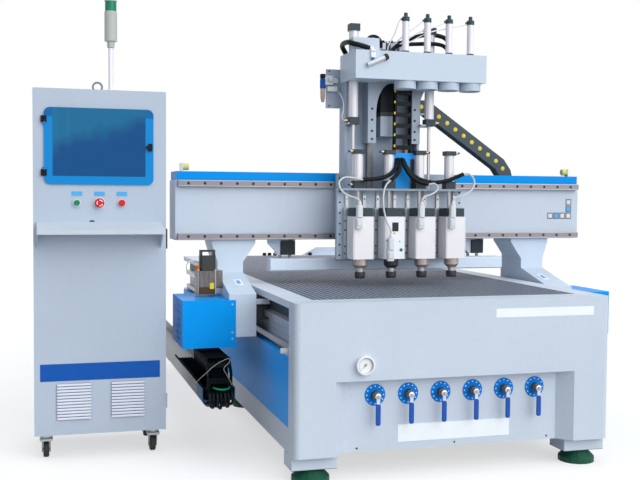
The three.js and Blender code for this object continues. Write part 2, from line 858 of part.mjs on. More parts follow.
function makeBeam() {
  const outer = box(-beamHalfLength, beamHalfLength, beamFront, beamBack, beamBottom, beamTop);
  const inner = box(beamWall - beamHalfLength, beamHalfLength - beamWall, beamFront + beamWall,
    beamBack - beamWall, beamBottom + beamWall, beamTop - beamWall);
  const middleHeight = (beamBottom + beamTop) / 2;
  const spacing = 2 * beamHalfLength / beamWindowCount;
  const windows = Array.from({ length: beamWindowCount }, (_, k) => {
    const x = (k - (beamWindowCount - 1) / 2) * spacing;
    return prism('y', roundedOutline(x - beamWindowWidth / 2, x + beamWindowWidth / 2,
      middleHeight - beamWindowHeight / 2, middleHeight + beamWindowHeight / 2, beamWindowRadius),
    beamBack - beamWall - cutOverrun, beamBack + cutOverrun);
  });
  const guides = [-1, 1].map((side) => {
    const x = side * pusherGuideAcross;
    const left = x - pusherBodyWidth / 2;
    const body = box(left, x + pusherBodyWidth / 2, pusherBodyFront, pusherBodyFront + pusherBodyDepth,
      pusherBodyBottom, beamBottom + seatGap);
    const gusset = prism('y', [[left - pusherGussetReach, beamBottom + seatGap],
      [left - pusherGussetReach, beamBottom - pusherGussetThickness * 2], [left, pusherBodyBottom],
      [x, pusherBodyBottom], [x, beamBottom + seatGap]],
    pusherBodyFront - pusherGussetThickness, pusherBodyFront + seatGap);
    const bores = [-1, 1].map((hand) => rod('z', pusherRodRadius + runGap, pusherBodyBottom - cutOverrun,
      beamBottom - seatGap, x + hand * pusherRodSpread, pusherGuideMiddle, smallSides));
    return cut(join(body, gusset), bores);
  });
  piece('gantry_beam', join(cut(outer, inner, windows), guides), finish(paint, 0.5, 0.15));
  for (const [name, height] of [['x_rail_upper', upperRailHeight], ['x_rail_lower', lowerRailHeight]]) {
    const outline = railOutline(railWidth, railHeight - seatGap)
      .map(([across, out]) => [beamFront - seatGap - out, height + across]);
    piece(name, prism('x', outline, railEndMargin - beamHalfLength, beamHalfLength - railEndMargin),
      finish(steel, 0.35, 0.9));
  }
}

function makeBeamCover() {
  const bottom = beamTop + seatGap;
  const top = bottom + coverHeight;
  const end = beamHalfLength - coverEndInset;
  const shell = cut(box(-end, end, beamFront, beamBack, bottom, top),
    box(coverSheet - end, end - coverSheet, beamFront + coverSheet, beamBack - coverSheet,
      bottom - cutOverrun, top - coverSheet));
  const bumperMiddle = beamFront + beamDepth / 4;
  const bumpers = [-1, 1].map((side) => {
    const foot = sided(side, end - bumperPostThickness * 3, end - bumperPostThickness * 2);
    const head = sided(side, end - bumperPostThickness * 3 - bumperLength,
      end - bumperPostThickness * 3 + seatGap);
    return [box(...foot, bumperMiddle - bumperRadius, bumperMiddle + bumperRadius, top - coverSheet / 2,
      top + bumperPostHeight),
      rod('x', bumperRadius, head[0], head[1], bumperMiddle, top + bumperPostHeight - bumperRadius,
        smallSides)];
  });
  piece('beam_cover', join(shell, bumpers), finish('#2288dc', 0.35, 0.1));
}

// One leg of the gantry, with its guide blocks and its drive motor
function makeColumn(name, side) {
  const inner = columnInner;
  const top = beamBottom - seatGap;
  const profile = [[columnFoot, columnBottom], [columnFoot, columnSlopeLow], [beamFront, columnSlopeHigh],
    [beamFront, top], [beamBack, top], [columnRear, columnSlopeHigh], [columnRear, columnBottom]];
  const leg = prism('x', profile, ...sided(side, inner, columnOuter));
  const pocket = box(...sided(side, columnOuter - columnRecess, columnOuter + cutOverrun),
    beamBack - columnRecess, columnRear + cutOverrun, columnBottom - cutOverrun, columnSlopeLow);
  const flangeLow = top - columnFlangeThickness;
  const flare = prism('y', [[inner - columnFlangeInner, top], [inner - columnFlangeInner, flangeLow],
    [inner, flangeLow - columnFlareDrop], [columnOuter, flangeLow - columnFlareDrop],
    [columnOuter + columnFlangeOuter, flangeLow], [columnOuter + columnFlangeOuter, top]]
    .map(([x, z]) => [side * x, z]), beamFront, beamBack);
  const plate = box(...sided(side, railFace + blockHeadroom, inner), columnFoot + railEndMargin,
    columnRear - railEndMargin, yRailHeight - blockWidth / 2, yRailHeight + blockWidth / 2);
  const blockFrom = beamOuter + railHeight * railFootShare / 2;
  const blocks = [columnFoot + railEndMargin * 3,
    columnRear - railEndMargin * 3 - blockLength].map((from) => box(
    ...sided(side, blockFrom, railFace + blockHeadroom), from, from + blockLength,
    yRailHeight - blockWidth / 2, yRailHeight + blockWidth / 2));
  const groove = prism('y', railOutline(railWidth + runGap * 2, railHeight + runGap)
    .map(([across, out]) => [side * (beamOuter + out), yRailHeight + across]), columnFoot, columnRear);
  const motorHeight = motorCoverBottom + motorCoverHeight / 2;
  const motorMiddle = columnFoot + motorCoverDepth / 2;
  const gearbox = rod('x', gearboxRadius, ...sided(side, columnOuter - cutOverrun,
    columnOuter + gearboxRadius),
    motorMiddle, motorHeight);
  const motor = box(...sided(side, columnOuter + gearboxRadius - cutOverrun, columnOuter + motorLength),
    motorMiddle - motorSize / 2, motorMiddle + motorSize / 2, motorHeight - motorSize / 2,
      motorHeight + motorSize / 2);
  piece(name, cut(join(cut(leg, pocket), flare, plate, blocks, gearbox, motor), groove), finish(paint,
    0.5, 0.15));
}

function makeMotorCover(name, side) {
  const outer = motorCoverOuter;
  const top = motorCoverBottom + motorCoverHeight;
  const front = columnFoot - motorCoverSheet - seatGap;
  const back = columnFoot + motorCoverDepth;
  const inner = columnOuter + seatGap;
  const flange = box(...sided(side, columnOuter - motorCoverLap, inner + motorCoverSheet), front,
    front + motorCoverSheet, motorCoverBottom, top);
  const shell = cut(box(...sided(side, inner, outer), front, back, motorCoverBottom, top),
    box(...sided(side, inner - cutOverrun, outer - motorCoverSheet), front + motorCoverSheet,
      back - motorCoverSheet, motorCoverBottom + motorCoverSheet, top - motorCoverSheet));
  const louverPitch = (motorCoverHeight - louverHeight * 4) / louverCount;
  const slotMiddle = (front + back) / 2;
  const slots = Array.from({ length: louverCount }, (_, k) => {
    const low = motorCoverBottom + louverHeight * 3 + k * louverPitch;
    return box(...sided(side, outer - motorCoverSheet - cutOverrun, outer + cutOverrun),
      slotMiddle - louverLength / 2, slotMiddle + louverLength / 2, low, low + louverHeight);
  });
  piece(name, cut(join(shell, flange), slots), finish(blue, 0.35, 0.1));
}

function makeLubePump() {
  const x = -pumpAcross;
  const tankTop = pumpBottom + pumpTankHeight;
  const tank = prism('z', roundedOutline(x - pumpWidth / 2, x + pumpWidth / 2, pumpMiddle - pumpDepth / 2,
    pumpMiddle + pumpDepth / 2, pumpDepth / 8), pumpBottom, tankTop);
  const headLeft = x + pumpWidth / 2 - pumpHeadWidth;
  const head = prism('z', roundedOutline(headLeft, headLeft + pumpHeadWidth, pumpMiddle - pumpDepth / 3,
    pumpMiddle + pumpDepth / 3, pumpDepth / 8), tankTop - seatGap, tankTop + pumpHeadHeight);
  const gripTop = tankTop + pumpHeadHeight + pumpGripRise;
  const grip = cut(box(headLeft, headLeft + pumpHeadWidth, pumpMiddle - pumpDepth / 8,
    pumpMiddle + pumpDepth / 8,
    tankTop + pumpHeadHeight - seatGap, gripTop),
  box(headLeft + pumpHeadWidth / 6, headLeft + pumpHeadWidth * 5 / 6, pumpMiddle - pumpDepth,
    pumpMiddle + pumpDepth,
    tankTop + pumpHeadHeight, gripTop - pumpGripRise / 3));
  const cap = rod('z', pumpCapRadius, tankTop - seatGap, tankTop + pumpCapHeight,
    x - pumpWidth / 2 + pumpCapRadius + seatGap, pumpMiddle, smallSides);
  const bracket = box(x + pumpWidth / 2 - seatGap, -columnOuter - seatGap, pumpMiddle - pumpDepth / 3,
    pumpMiddle + pumpDepth / 3, pumpBottom + pumpTankHeight / 4, tankTop);
  piece('lube_pump', join(tank, head, grip, cap, bracket), finish('#4a4744', 0.25, 0));
}

function makePusher() {
  const top = pusherBottom + pusherHeight;
  const back = pusherFront + pusherDepth;
  const section = [[pusherFront + pusherChamfer, pusherBottom], [back - pusherChamfer, pusherBottom],
    [back, pusherBottom + pusherChamfer], [back, top - pusherChamfer], [back - pusherChamfer, top],
    [pusherFront + pusherChamfer, top], [pusherFront, top - pusherChamfer], [pusherFront,
      pusherBottom + pusherChamfer]];
  const bar = prism('x', section, -pusherHalfLength, pusherHalfLength);
  const lugs = [-1, 1].map((side) => {
    const x = side * pusherGuideAcross;
    const lug = box(x - pusherBodyWidth / 2, x + pusherBodyWidth / 2, back - pusherChamfer * 2,
      pusherBodyFront + pusherBodyDepth, pusherBottom + pusherLugHeight,
        pusherBottom + pusherLugHeight * 2);
    const rods = [-1, 1].map((hand) => rod('z', pusherRodRadius,
      pusherBottom + pusherLugHeight * 2 - seatGap,
      beamBottom - railEndMargin, x + hand * pusherRodSpread, pusherGuideMiddle, smallSides));
    return [lug, rods];
  });
  piece('pusher_bar', join(bar, lugs), finish(paint, 0.45, 0.2));
}

// Carriage
const saddleFront = saddleBack - saddleThickness;
const zRailPlaces = [zRailMiddle - zRailSpread, zRailMiddle + zRailSpread];
const zRailFace = saddleFront - railHeight;

function makeSaddle() {
  const back = saddleBack;
  const plate = box(saddleLeft, saddleRight, saddleFront, back, saddleBottom, saddleTop);
  const spine = box(towerLeft, towerRight, saddleFront, back, saddleTop - cutOverrun, towerTop);
  const cheeks = [box(towerLeft, towerLeft + cheekThickness, cheekFront, saddleFront + cutOverrun,
    cheekBottom, towerTop),
    box(towerRight - cheekThickness, towerRight, cheekFront, saddleFront + cutOverrun, cheekBottom,
      towerTop)];
  const rails = zRailPlaces.map((x) => prism('z', railOutline(railWidth, railHeight)
    .map(([across, out]) => [x + across, saddleFront - out]), zRailBottom, zRailTop));
  const blockReach = beamFront - railHeight * railFootShare / 2;
  const blocks = [upperRailHeight, lowerRailHeight].flatMap((height) => [
    saddleLeft + blockLength / 4, saddleRight - blockLength * 5 / 4].map((x) => box(x, x + blockLength,
    back - seatGap, blockReach, height - blockWidth / 2, height + blockWidth / 2)));
  const grooves = [upperRailHeight, lowerRailHeight].map((height) => prism('x',
    railOutline(railWidth + runGap * 2, railHeight + runGap)
      .map(([across, out]) => [beamFront - out, height + across]), saddleLeft, saddleRight));
  return [cut(join(plate, blocks), grooves), spine, cheeks, rails];
}

// Two brackets under the hood: each flares to the right in a hollow curve at its top
function makeBrackets() {
  const bracketBack = bracketFront + bracketThickness;
  return bracketLefts.map((left, index) => {
    const right = left + bracketWidth;
    const outline = new THREE.Shape();
    outline.moveTo(left, bracketBottom);
    outline.lineTo(right, bracketBottom);
    outline.absellipse(right + bracketFlare, towerTop - bracketFlareHeight, bracketFlare,
      bracketFlareHeight,
      Math.PI, Math.PI / 2, true);
    outline.lineTo(left, towerTop);
    const webLeft = index === 0 ? left : towerRight - cheekThickness;
    const web = box(webLeft, webLeft + cheekThickness, bracketBack - cutOverrun, saddleFront + cutOverrun,
      bracketBottom, towerTop);
    return [prism('y', outline, bracketFront, bracketBack, arcSegments + 1), web];
  });
}

function makeBalanceCylinders() {
  const y = balanceMiddle;
  const half = balanceCapSize / 2;
  return balanceAcross.map((x, index) => {
    const capTop = balanceBottom + balanceCapHeight;
    const barrel = rod('z', balanceRadius, capTop - seatGap, balanceTop - balanceCapHeight, x, y);
    const caps = [box(x - half, x + half, y - half, y + half, balanceBottom, capTop),
      box(x - half, x + half, y - half, y + half, balanceTop - balanceCapHeight - seatGap, balanceTop)];
    const plateX = index === 0 ? [towerLeft, x + half] : [towerRight - cheekThickness, x + half];
    const plate = box(...plateX, y - half, saddleFront + cutOverrun, balanceBottom,
      balanceBottom + balancePlate);
    const bore = rod('z', balanceRodRadius + runGap, balanceBottom - cutOverrun,
      balanceRodTop + zTravelUp + cutOverrun, x, y, smallSides);
    return cut(join(barrel, caps, plate), bore);
  });
}

function makeCarriage() {
  const seat = box(zMotorAcross - zMotorSize / 2, zMotorAcross + zMotorSize / 2,
    bracketFront + bracketThickness,
    saddleFront + cutOverrun, zMotorBottom - zMotorSeatHeight, zMotorBottom - seatGap);
  const airPlate = box(airPlateLeft, airPlateRight, saddleBack - seatGap, saddleBack + airPlateThickness,
    airPlateBottom, airPlateTop);
  const shelfTop = chainShelfHeight + chainShelfThickness;
  const chainShelf = [box(chainArmLeft, towerRight, saddleBack - seatGap, chainShelfBack,
    chainShelfHeight, shelfTop),
    box(chainArmLeft, chainShelfRight, chainShelfFront, chainShelfBack, chainShelfHeight, shelfTop)];
  piece('x_saddle', join(makeSaddle(), makeBrackets(), makeBalanceCylinders(), seat, airPlate, chainShelf),
    finish(cast, 0.5, 0.2));
}

function makeZMotor() {
  const half = zMotorSize / 2;
  const front = bracketFront + bracketThickness + seatGap;
  const back = saddleFront - seatGap;
  const neck = runGap * 4;
  const body = box(zMotorAcross - half, zMotorAcross + half, front, back, zMotorBottom,
    zMotorTop - zMotorEndHeight);
  const end = box(zMotorAcross - half + neck, zMotorAcross + half - neck, front + neck, back - neck,
    zMotorTop - zMotorEndHeight - seatGap, zMotorTop);
  piece('z_motor', join(body, end), finish('#23272b', 0.5, 0.2));
}

// The X drag chain leaves the carriage's rear shelf, slants down and bends back behind the beam
function makeBeamChain() {
  const startHeight = chainShelfHeight + chainShelfThickness + seatGap + beamChainHeight / 2;
  const bend = (beamChainSlant - Math.PI) / beamChainBendCount;
  const turns = [...Array(beamChainFlatCount).fill(0), -beamChainSlant,
    ...Array(beamChainSlantCount).fill(0),
    ...Array(beamChainBendCount).fill(bend), ...Array(beamChainLowCount).fill(0)];
  const stations = chainPath(chainShelfRight + beamChainOverhang - beamChainPitch * beamChainFlatCount,
    startHeight, 0, turns, beamChainPitch);
  piece('x_drag_chain', dragChain('y', stations, beamChainPitch, beamChainHeight,
    chainShelfBack - beamChainWidth, chainShelfBack), finish(black, 0.6, 0));
}

// Dust manifold
const hoodBottom = towerTop + seatGap;
const ductBack = hoodFront + ductDepth;
const portMiddle = hoodFront + ductDepth / 2;
const portPlaces = Array.from({ length: portCount }, (_, k) => portFirst + k * portPitch);
const gateRadius = ductDepth / 2 - hoodSheet - runGap;
const gateHeight = hoodTop - hoodSheet - gateHeadroom;
const gateCylinderTop = hoodTop + gateCylinderHeight;

function makeManifold() {
  const outer = box(hoodLeft, hoodRight, hoodFront, hoodBack, hoodBottom, hoodTop);
  const duct = box(hoodLeft + hoodSheet, hoodRight - hoodSheet, hoodFront + hoodSheet, ductBack - hoodSheet,
    hoodBottom + hoodSheet, hoodTop - hoodSheet);
  const bay = box(hoodLeft + hoodSheet, hoodRight - hoodSheet, ductBack, hoodBack + cutOverrun,
    hoodBottom + hoodSheet, hoodTop - hoodSheet);
  const slot = box(hoodLeft + hoodSheet, hoodRight - hoodSheet, ductBack, bracketFront,
    hoodBottom - cutOverrun, hoodTop - hoodSheet);
  const motorHalf = zMotorSize / 2 + runGap * 4;
  const motorHole = box(zMotorAcross - motorHalf, zMotorAcross + motorHalf,
    bracketFront + bracketThickness - runGap * 4,
    saddleFront + runGap * 4, hoodBottom - cutOverrun, hoodTop + cutOverrun);
  const balanceHoles = balanceAcross.map((x) => rod('z', balanceRadius + runGap * 2,
    hoodBottom - cutOverrun,
    hoodTop + cutOverrun, x, balanceMiddle));
  const portBottom = hoodBottom - portLength;
  const ports = portPlaces.map((x) => rod('z', portOuterRadius, portBottom, hoodBottom + hoodSheet, x,
    portMiddle));
  const bores = portPlaces.map((x) => rod('z', portOuterRadius - portWall, portBottom - cutOverrun,
    hoodBottom + hoodSheet + cutOverrun, x, portMiddle));
  const cylinders = portPlaces.map((x) => turned('z', [[0, hoodTop - seatGap], [gateCylinderRadius,
    hoodTop - seatGap],
    [gateCylinderRadius, gateCylinderTop], [gateCapRadius, gateCylinderTop], [gateCapRadius,
      gateCylinderTop + gateCapHeight],
    [0, gateCylinderTop + gateCapHeight]], x, portMiddle, smallSides));
  const rodBores = portPlaces.map((x) => rod('z', gateRodRadius + runGap, hoodTop - hoodSheet - cutOverrun,
    gateHeight + gateThickness + gateRodLength + cutOverrun, x, portMiddle, smallSides));
  const plenum = box(hoodLeft, hoodLeft + plenumWidth, plenumFront, plenumBack,
    hoodTop - seatGap, hoodTop + plenumHeight);
  const outletHeight = (hoodBottom + hoodTop) / 2;
  const outlet = rod('y', outletRadius, ductBack - hoodSheet, hoodBack + outletLength, outletAcross,
    outletHeight);
  const outletBore = rod('y', outletRadius - portWall, ductBack - hoodSheet - cutOverrun,
    hoodBack + outletLength + cutOverrun, outletAcross, outletHeight);
  const [runX, runZ] = [tiltedTo[0] - tiltedFrom[0], tiltedTo[1] - tiltedFrom[1]];
  const tilted = new THREE.CylinderGeometry(tiltedRadius, tiltedRadius, Math.hypot(runX, runZ), smallSides);
  tilted.rotateX(Math.PI / 2).rotateY(Math.atan2(runX, runZ));
  tilted.translate(tiltedFrom[0] + runX / 2, hoodFront - tiltedRadius + tiltedSink,
    tiltedFrom[1] + runZ / 2);
  const shell = cut(outer, duct, bay, slot, balanceHoles, motorHole);
  piece('dust_manifold', cut(join(shell, ports, cylinders, plenum, outlet, solidFrom(tilted)), bores,
    rodBores, outletBore),
    finish(paint, 0.45, 0.15));
}

function makeGates() {
  portPlaces.forEach((x, k) => {
    const disc = rod('z', gateRadius, gateHeight, gateHeight + gateThickness, x, portMiddle);
    const stem = rod('z', gateRodRadius, gateHeight + gateThickness - seatGap,
      gateHeight + gateThickness + gateRodLength, x, portMiddle, smallSides);
    piece(`dust_gate_${k + 1}`, join(disc, stem), finish(steel, 0.4, 0.7));
  });
}

// Z plate with the lift cylinders of the spindles
const spindlePlaces = Array.from({ length: spindleCount }, (_,
  k) => (k - (spindleCount - 1) / 2) * spindlePitch);

function makeZPlate() {
  const back = zPlateFront + zPlateThickness;
  const plate = box(-zPlateHalfWidth, zPlateHalfWidth, zPlateFront, back, zPlateBottom, zPlateTop);
  const shelf = box(-zPlateHalfWidth, zPlateHalfWidth, zShelfFront, back, zPlateTop - seatGap,
    zPlateTop + zShelfThickness);
  const blockReach = saddleFront - railHeight * railFootShare / 2;
  const blocks = zRailPlaces.flatMap((x) => [zPlateBottom + blockWidth / 2,
    zPlateTop - blockWidth / 2 - blockLength]
    .map((z) => box(x - blockWidth / 2, x + blockWidth / 2, back - seatGap, blockReach, z,
      z + blockLength)));
  const grooves = zRailPlaces.map((x) => prism('z', railOutline(railWidth + runGap * 2, railHeight + runGap)
    .map(([across, out]) => [x + across, saddleFront - out]), zPlateBottom, zPlateTop));
  const slideRails = spindlePlaces.flatMap((x) => [-1, 1].map((side) => box(
    x + side * slideRailSpread - slideRailWidth / 2, x + side * slideRailSpread + slideRailWidth / 2,
    zPlateFront - slideRailHeight, zPlateFront + seatGap, zPlateBottom + railEndMargin, zPlateTop)));
  const shelfTop = zPlateTop + zShelfThickness;
  const lifts = spindlePlaces.map((x) => {
    const half = liftCapSize / 2;
    const square = (from, to) => box(x - half, x + half, liftMiddle - half, liftMiddle + half, from, to);
    const barrel = rod('z', liftBarrelRadius, shelfTop + liftCapHeight - seatGap,
      liftTop - liftTopCapHeight + seatGap, x, liftMiddle);
    const bore = rod('z', liftRodRadius + runGap, zPlateTop - cutOverrun,
      liftRodTop + liftStroke + cutOverrun,
      x, liftMiddle, smallSides);
    return cut(join(square(shelfTop - seatGap, shelfTop + liftCapHeight), barrel,
      square(liftTop - liftTopCapHeight, liftTop)), bore);
  });
  const shelfHoles = spindlePlaces.map((x) => rod('z', liftRodRadius + runGap, zPlateTop - cutOverrun,
    shelfTop + cutOverrun, x, liftMiddle, smallSides));
  const balanceRods = balanceAcross.map((x) => rod('z', balanceRodRadius, shelfTop - seatGap, balanceRodTop,
    x, balanceMiddle, smallSides));
  const hangerBack = back - seatGap;
  const hanger = [box(hangerLeft, hangerLeft + hangerWidth, hangerFront, hangerFront + hangerThickness,
    shelfTop - seatGap, hangerTop),
  box(hangerLeft, hangerLeft + hangerTopWidth, hangerFront, hangerBack, hangerTop - hangerHeadHeight,
    hangerTop)];
  const body = join(cut(join(plate, blocks), grooves), cut(shelf, shelfHoles), slideRails, lifts,
    balanceRods, hanger);
  piece('z_plate', body, finish(cast, 0.45, 0.3));
}

function makeHeadChain() {
  const front = zPlateFront + zPlateThickness - headChainDepth;
  const middle = front + headChainDepth / 2 - seatGap;
  const stations = Array.from({ length: headChainCount }, (_, k) => [middle,
    hangerTop + seatGap + headChainPitch * (k + 1 / 2), Math.PI / 2]);
  const low = hangerLeft + cutOverrun * 2;
  piece('z_drag_chain', dragChain('x', stations, headChainPitch, headChainDepth - seatGap * 2,
    low, low + headChainWidth), finish(black, 0.6, 0));
}

function makeSpindle(x, number) {
  const half = spindleWidth / 2;
  const back = spindleFront + spindleDepth;
  const top = spindleBottom + spindleHeight;
  const slideFront = zPlateFront - slideRailHeight - slideBlockClear - slideThickness;
  const slideBack = slideFront + slideThickness;
  const housing = prism('z', roundedOutline(x - half, x + half, spindleFront, back, spindleEdgeRadius),
    spindleBottom, top);
  const capInset = spindleEdgeRadius / 2;
  const cap = prism('z', roundedOutline(x - half + capInset, x + half - capInset, spindleFront + capInset,
    back,
    spindleEdgeRadius), top - seatGap, top + spindleCapHeight);
  const middle = spindleFront + half;
  const nose = turned('z', [[0, spindleBottom - noseHeight], [noseRadius * 2 / 3,
    spindleBottom - noseHeight],
    [noseRadius, spindleBottom - noseHeight * 2 / 3], [noseRadius, spindleBottom + seatGap], [0,
      spindleBottom + seatGap]],
  x, middle);
  const slide = box(x - slideWidth / 2, x + slideWidth / 2, slideFront, slideBack, spindleBottom, slideTop);
  const fill = box(x - half / 2, x + half / 2, back - seatGap, slideFront + seatGap, spindleBottom, top);
  const blockBack = zPlateFront - slideBlockClear;
  const blocks = [-1, 1].flatMap((side) => [spindleBottom + slideBlockLength / 3,
    slideTop - slideBlockLength * 4 / 3]
    .map((z) => box(x + side * slideRailSpread - slideBlockWidth / 2,
      x + side * slideRailSpread + slideBlockWidth / 2,
      slideBack - seatGap, blockBack, z, z + slideBlockLength)));
  const grooves = [-1, 1].map((side) => box(x + side * slideRailSpread - slideRailWidth / 2 - runGap,
    x + side * slideRailSpread + slideRailWidth / 2 + runGap, zPlateFront - slideRailHeight - runGap,
    zPlateFront + cutOverrun, spindleBottom - cutOverrun, slideTop + cutOverrun));
  const lug = box(x - liftLugWidth / 2, x + liftLugWidth / 2, liftMiddle - liftLugWidth / 2,
    slideFront + seatGap,
    slideTop - liftLugHeight, slideTop);
  const lift = rod('z', liftRodRadius, slideTop - seatGap, liftRodTop, x, liftMiddle, smallSides);
  const bore = rod('z', shaftRadius + runGap, spindleBottom - noseHeight - cutOverrun,
    spindleBottom - noseHeight + shaftBoreDepth + runGap, x, middle);
  piece(`spindle_${number}`, cut(join(housing, cap, nose, slide, fill, cut(join(blocks), grooves), lug,
    lift), bore),
    finish('#9fb0c2', 0.4, 0.3));
  const noseLow = spindleBottom - noseHeight;
  const nutTop = noseLow - shaftExposed;
  const nutLow = nutTop - nutHeight;
  const collet = turned('z', [[0, nutLow + toolBoreDepth], [toolBoreRadius, nutLow + toolBoreDepth],
    [toolBoreRadius, nutLow], [nutRadius - runGap * 4, nutLow], [nutRadius, nutLow + nutHeight / 3],
    [nutRadius, nutTop], [shaftRadius, nutTop], [shaftRadius, noseLow + shaftBoreDepth], [0,
      noseLow + shaftBoreDepth]],
  x, middle);
  piece(`collet_${number}`, collet, finish(darkSteel, 0.35, 0.85));
}
// Cabinet
const cabinetBack = cabinetFront + cabinetDepth;
const cabinetMiddle = (cabinetLeft + cabinetRight) / 2;
const windowLeft = cabinetLeft + windowLeftInset;
const windowRight = cabinetRight - windowRightInset;
const buttonPlaces = [buttonMiddle - buttonSpacing, buttonMiddle, buttonMiddle + buttonSpacing];
const axleHeight = casterWheelRadius;

function casterCheeks(x, y) {
  const half = casterWheelWidth / 2 + runGap * 2;
  const plateTop = cabinetBottom - seatGap;
  const cheekTop = plateTop - casterPlateThickness + seatGap;
  const cheeks = [-1, 1].map((side) => {
    const from = side > 0 ? x + half : x - half - casterCheek;
    return prism('x', [[y + casterTrail - casterAxleRadius * 2, axleHeight - casterAxleRadius * 2],
      [y + casterTrail + casterAxleRadius * 2, axleHeight - casterAxleRadius * 2],
      [y + casterPlateRadius * 2 / 3, cheekTop], [y - casterPlateRadius * 2 / 3, cheekTop]], from,
        from + casterCheek);
  });
  const reach = half + casterCheek;
  const axle = rod('x', casterAxleRadius, x - reach, x + reach, y + casterTrail, axleHeight, smallSides);
  return [cheeks, axle];
}

function casterPlaces() {
  const left = cabinetLeft + casterInset;
  const right = cabinetRight - casterInset;
  return { left, right, front: cabinetFront + casterFrontInset,
    rear: cabinetBack - casterFrontInset - casterTrail };
}

function makeCasters() {
  const { left, right, front, rear } = casterPlaces();
  const plateTop = cabinetBottom - seatGap;
  [['left', left], ['right', right]].forEach(([hand, x]) => {
    const plate = rod('z', casterPlateRadius, plateTop - casterPlateThickness, plateTop, x, front);
    piece(`caster_fork_${hand}`, join(plate, casterCheeks(x, front)), finish(silver, 0.3, 0.8));
  });
  const wheels = [['front_left', left, front], ['front_right', right, front], ['rear_left', left, rear],
    ['rear_right', right, rear]];
  wheels.forEach(([place, x, y]) => {
    const half = casterWheelWidth / 2;
    const tread = turned('x', [[casterAxleRadius + runGap, x - half], [casterWheelRadius - half / 3,
      x - half],
      [casterWheelRadius, x - half * 2 / 3], [casterWheelRadius, x + half * 2 / 3],
        [casterWheelRadius - half / 3, x + half],
      [casterAxleRadius + runGap, x + half], [casterAxleRadius + runGap, x - half]], y + casterTrail,
        axleHeight);
    piece(`caster_wheel_${place}`, tread, finish('#3a3f45', 0.7, 0));
  });
}

function makeVent(x) {
  const half = ventWidth / 2;
  const front = cabinetFront - ventProud;
  const top = ventBottom + ventHeight;
  const frame = cut(box(x - half, x + half, front, cabinetFront + seatGap, ventBottom, top),
    box(x - half + ventFrame, x + half - ventFrame, front - cutOverrun, cabinetFront,
      ventBottom + ventFrame, top - ventFrame));
  const pitch = (ventHeight - ventFrame * 2) / ventSlatCount;
  const slats = Array.from({ length: ventSlatCount }, (_, k) => {
    const low = ventBottom + ventFrame + pitch * (k + 1 / 2) - ventSlatHeight / 2;
    return prism('x', [[cabinetFront + seatGap, low], [cabinetFront + seatGap, low + ventSlatHeight],
      [front + seatGap * 3, low]], x - half + seatGap, x + half - seatGap);
  });
  return [frame, slats];
}

function makeCabinet() {
  const back = cabinetBack;
  const outer = box(cabinetLeft, cabinetRight, cabinetFront, back, cabinetBottom, cabinetTop);
  const inner = box(cabinetLeft + cabinetWall, cabinetRight - cabinetWall, cabinetFront + cabinetWall,
    back + cutOverrun, cabinetBottom + cabinetWall, cabinetTop - cabinetWall);
  const opening = prism('y', roundedOutline(windowLeft + windowLap, windowRight - windowLap,
    windowBottom + windowLap,
    windowTop - windowLap, windowRadius), cabinetFront - cutOverrun,
      cabinetFront + cabinetWall + cutOverrun);
  const shelf = box(cabinetLeft + cabinetWall - seatGap, cabinetRight - cabinetWall + seatGap,
    cabinetFront + cabinetWall - seatGap, back - cabinetWall, cabinetShelfHeight,
      cabinetShelfHeight + cabinetWall);
  const vents = [-1, 1].map((side) => makeVent(cabinetMiddle + side * ventMiddleSpread));
  const collars = buttonPlaces.map((x) => rod('y', collarRadius, cabinetFront - collarHeight,
    cabinetFront + seatGap, x, buttonHeight));
  const holes = buttonPlaces.map((x) => rod('y', buttonStemRadius + runGap,
    cabinetFront - collarHeight - cutOverrun,
    cabinetFront + cabinetWall + cutOverrun, x, buttonHeight, smallSides));
  const { left, right, rear } = casterPlaces();
  const rigid = [left, right].map((x) => [box(x - casterPlateRadius, x + casterPlateRadius,
    rear - casterPlateRadius,
    rear + casterPlateRadius, cabinetBottom - casterPlateThickness, cabinetBottom + seatGap),
      casterCheeks(x, rear)]);
  const eyeMiddle = (cabinetFront + back) / 2;
  const eyeHeight = cabinetTop + eyeStem + eyeRadius;
  const eye = [cut(rod('y', eyeRadius + eyeBar, eyeMiddle - eyeBar, eyeMiddle + eyeBar, cabinetMiddle,
    eyeHeight),
    rod('y', eyeRadius - eyeBar / 2, eyeMiddle - eyeBar * 2, eyeMiddle + eyeBar * 2, cabinetMiddle,
      eyeHeight)),
  rod('z', eyeBar * 2, cabinetTop - seatGap, cabinetTop + eyeStem, cabinetMiddle, eyeMiddle, smallSides)];
  const latch = box(cabinetRight - seatGap, cabinetRight + latchProud, cabinetFront + latchWidth / 2,
    cabinetFront + latchWidth * 3 / 2, latchBottom, latchBottom + latchHeight);
  const body = join(cut(outer, inner, opening), shelf, vents, collars, rigid, eye, latch);
  piece('cabinet_body', cut(body, holes), finish(cabinetPaint, 0.45, 0.1));
}

function makeWindow() {
  const front = cabinetFront - seatGap - windowThickness;
  const leaf = prism('y', roundedOutline(windowLeft, windowRight, windowBottom, windowTop, windowRadius),
    front, cabinetFront - seatGap);
  const hinges = [windowBottom + hingeInset, windowTop - hingeInset - hingeLength].map((z) => rod('z',
    hingeRadius,
    z, z + hingeLength, windowLeft, front, smallSides));
  const knob = rod('y', hingeRadius * windowKnobShare, front - hingeRadius * 2, front + seatGap,
    windowRight - windowRadius,
    (windowBottom + windowTop) / 2, smallSides);
  const leafClear = box(windowLeft - hingeRadius * 2, windowLeft + hingeRadius * 2, cabinetFront - seatGap,
    cabinetFront + hingeRadius * 2, windowBottom, windowTop);
  piece('cabinet_window', cut(join(leaf, hinges, knob), leafClear), finish('#4f9fe0', 0.15, 0));
}

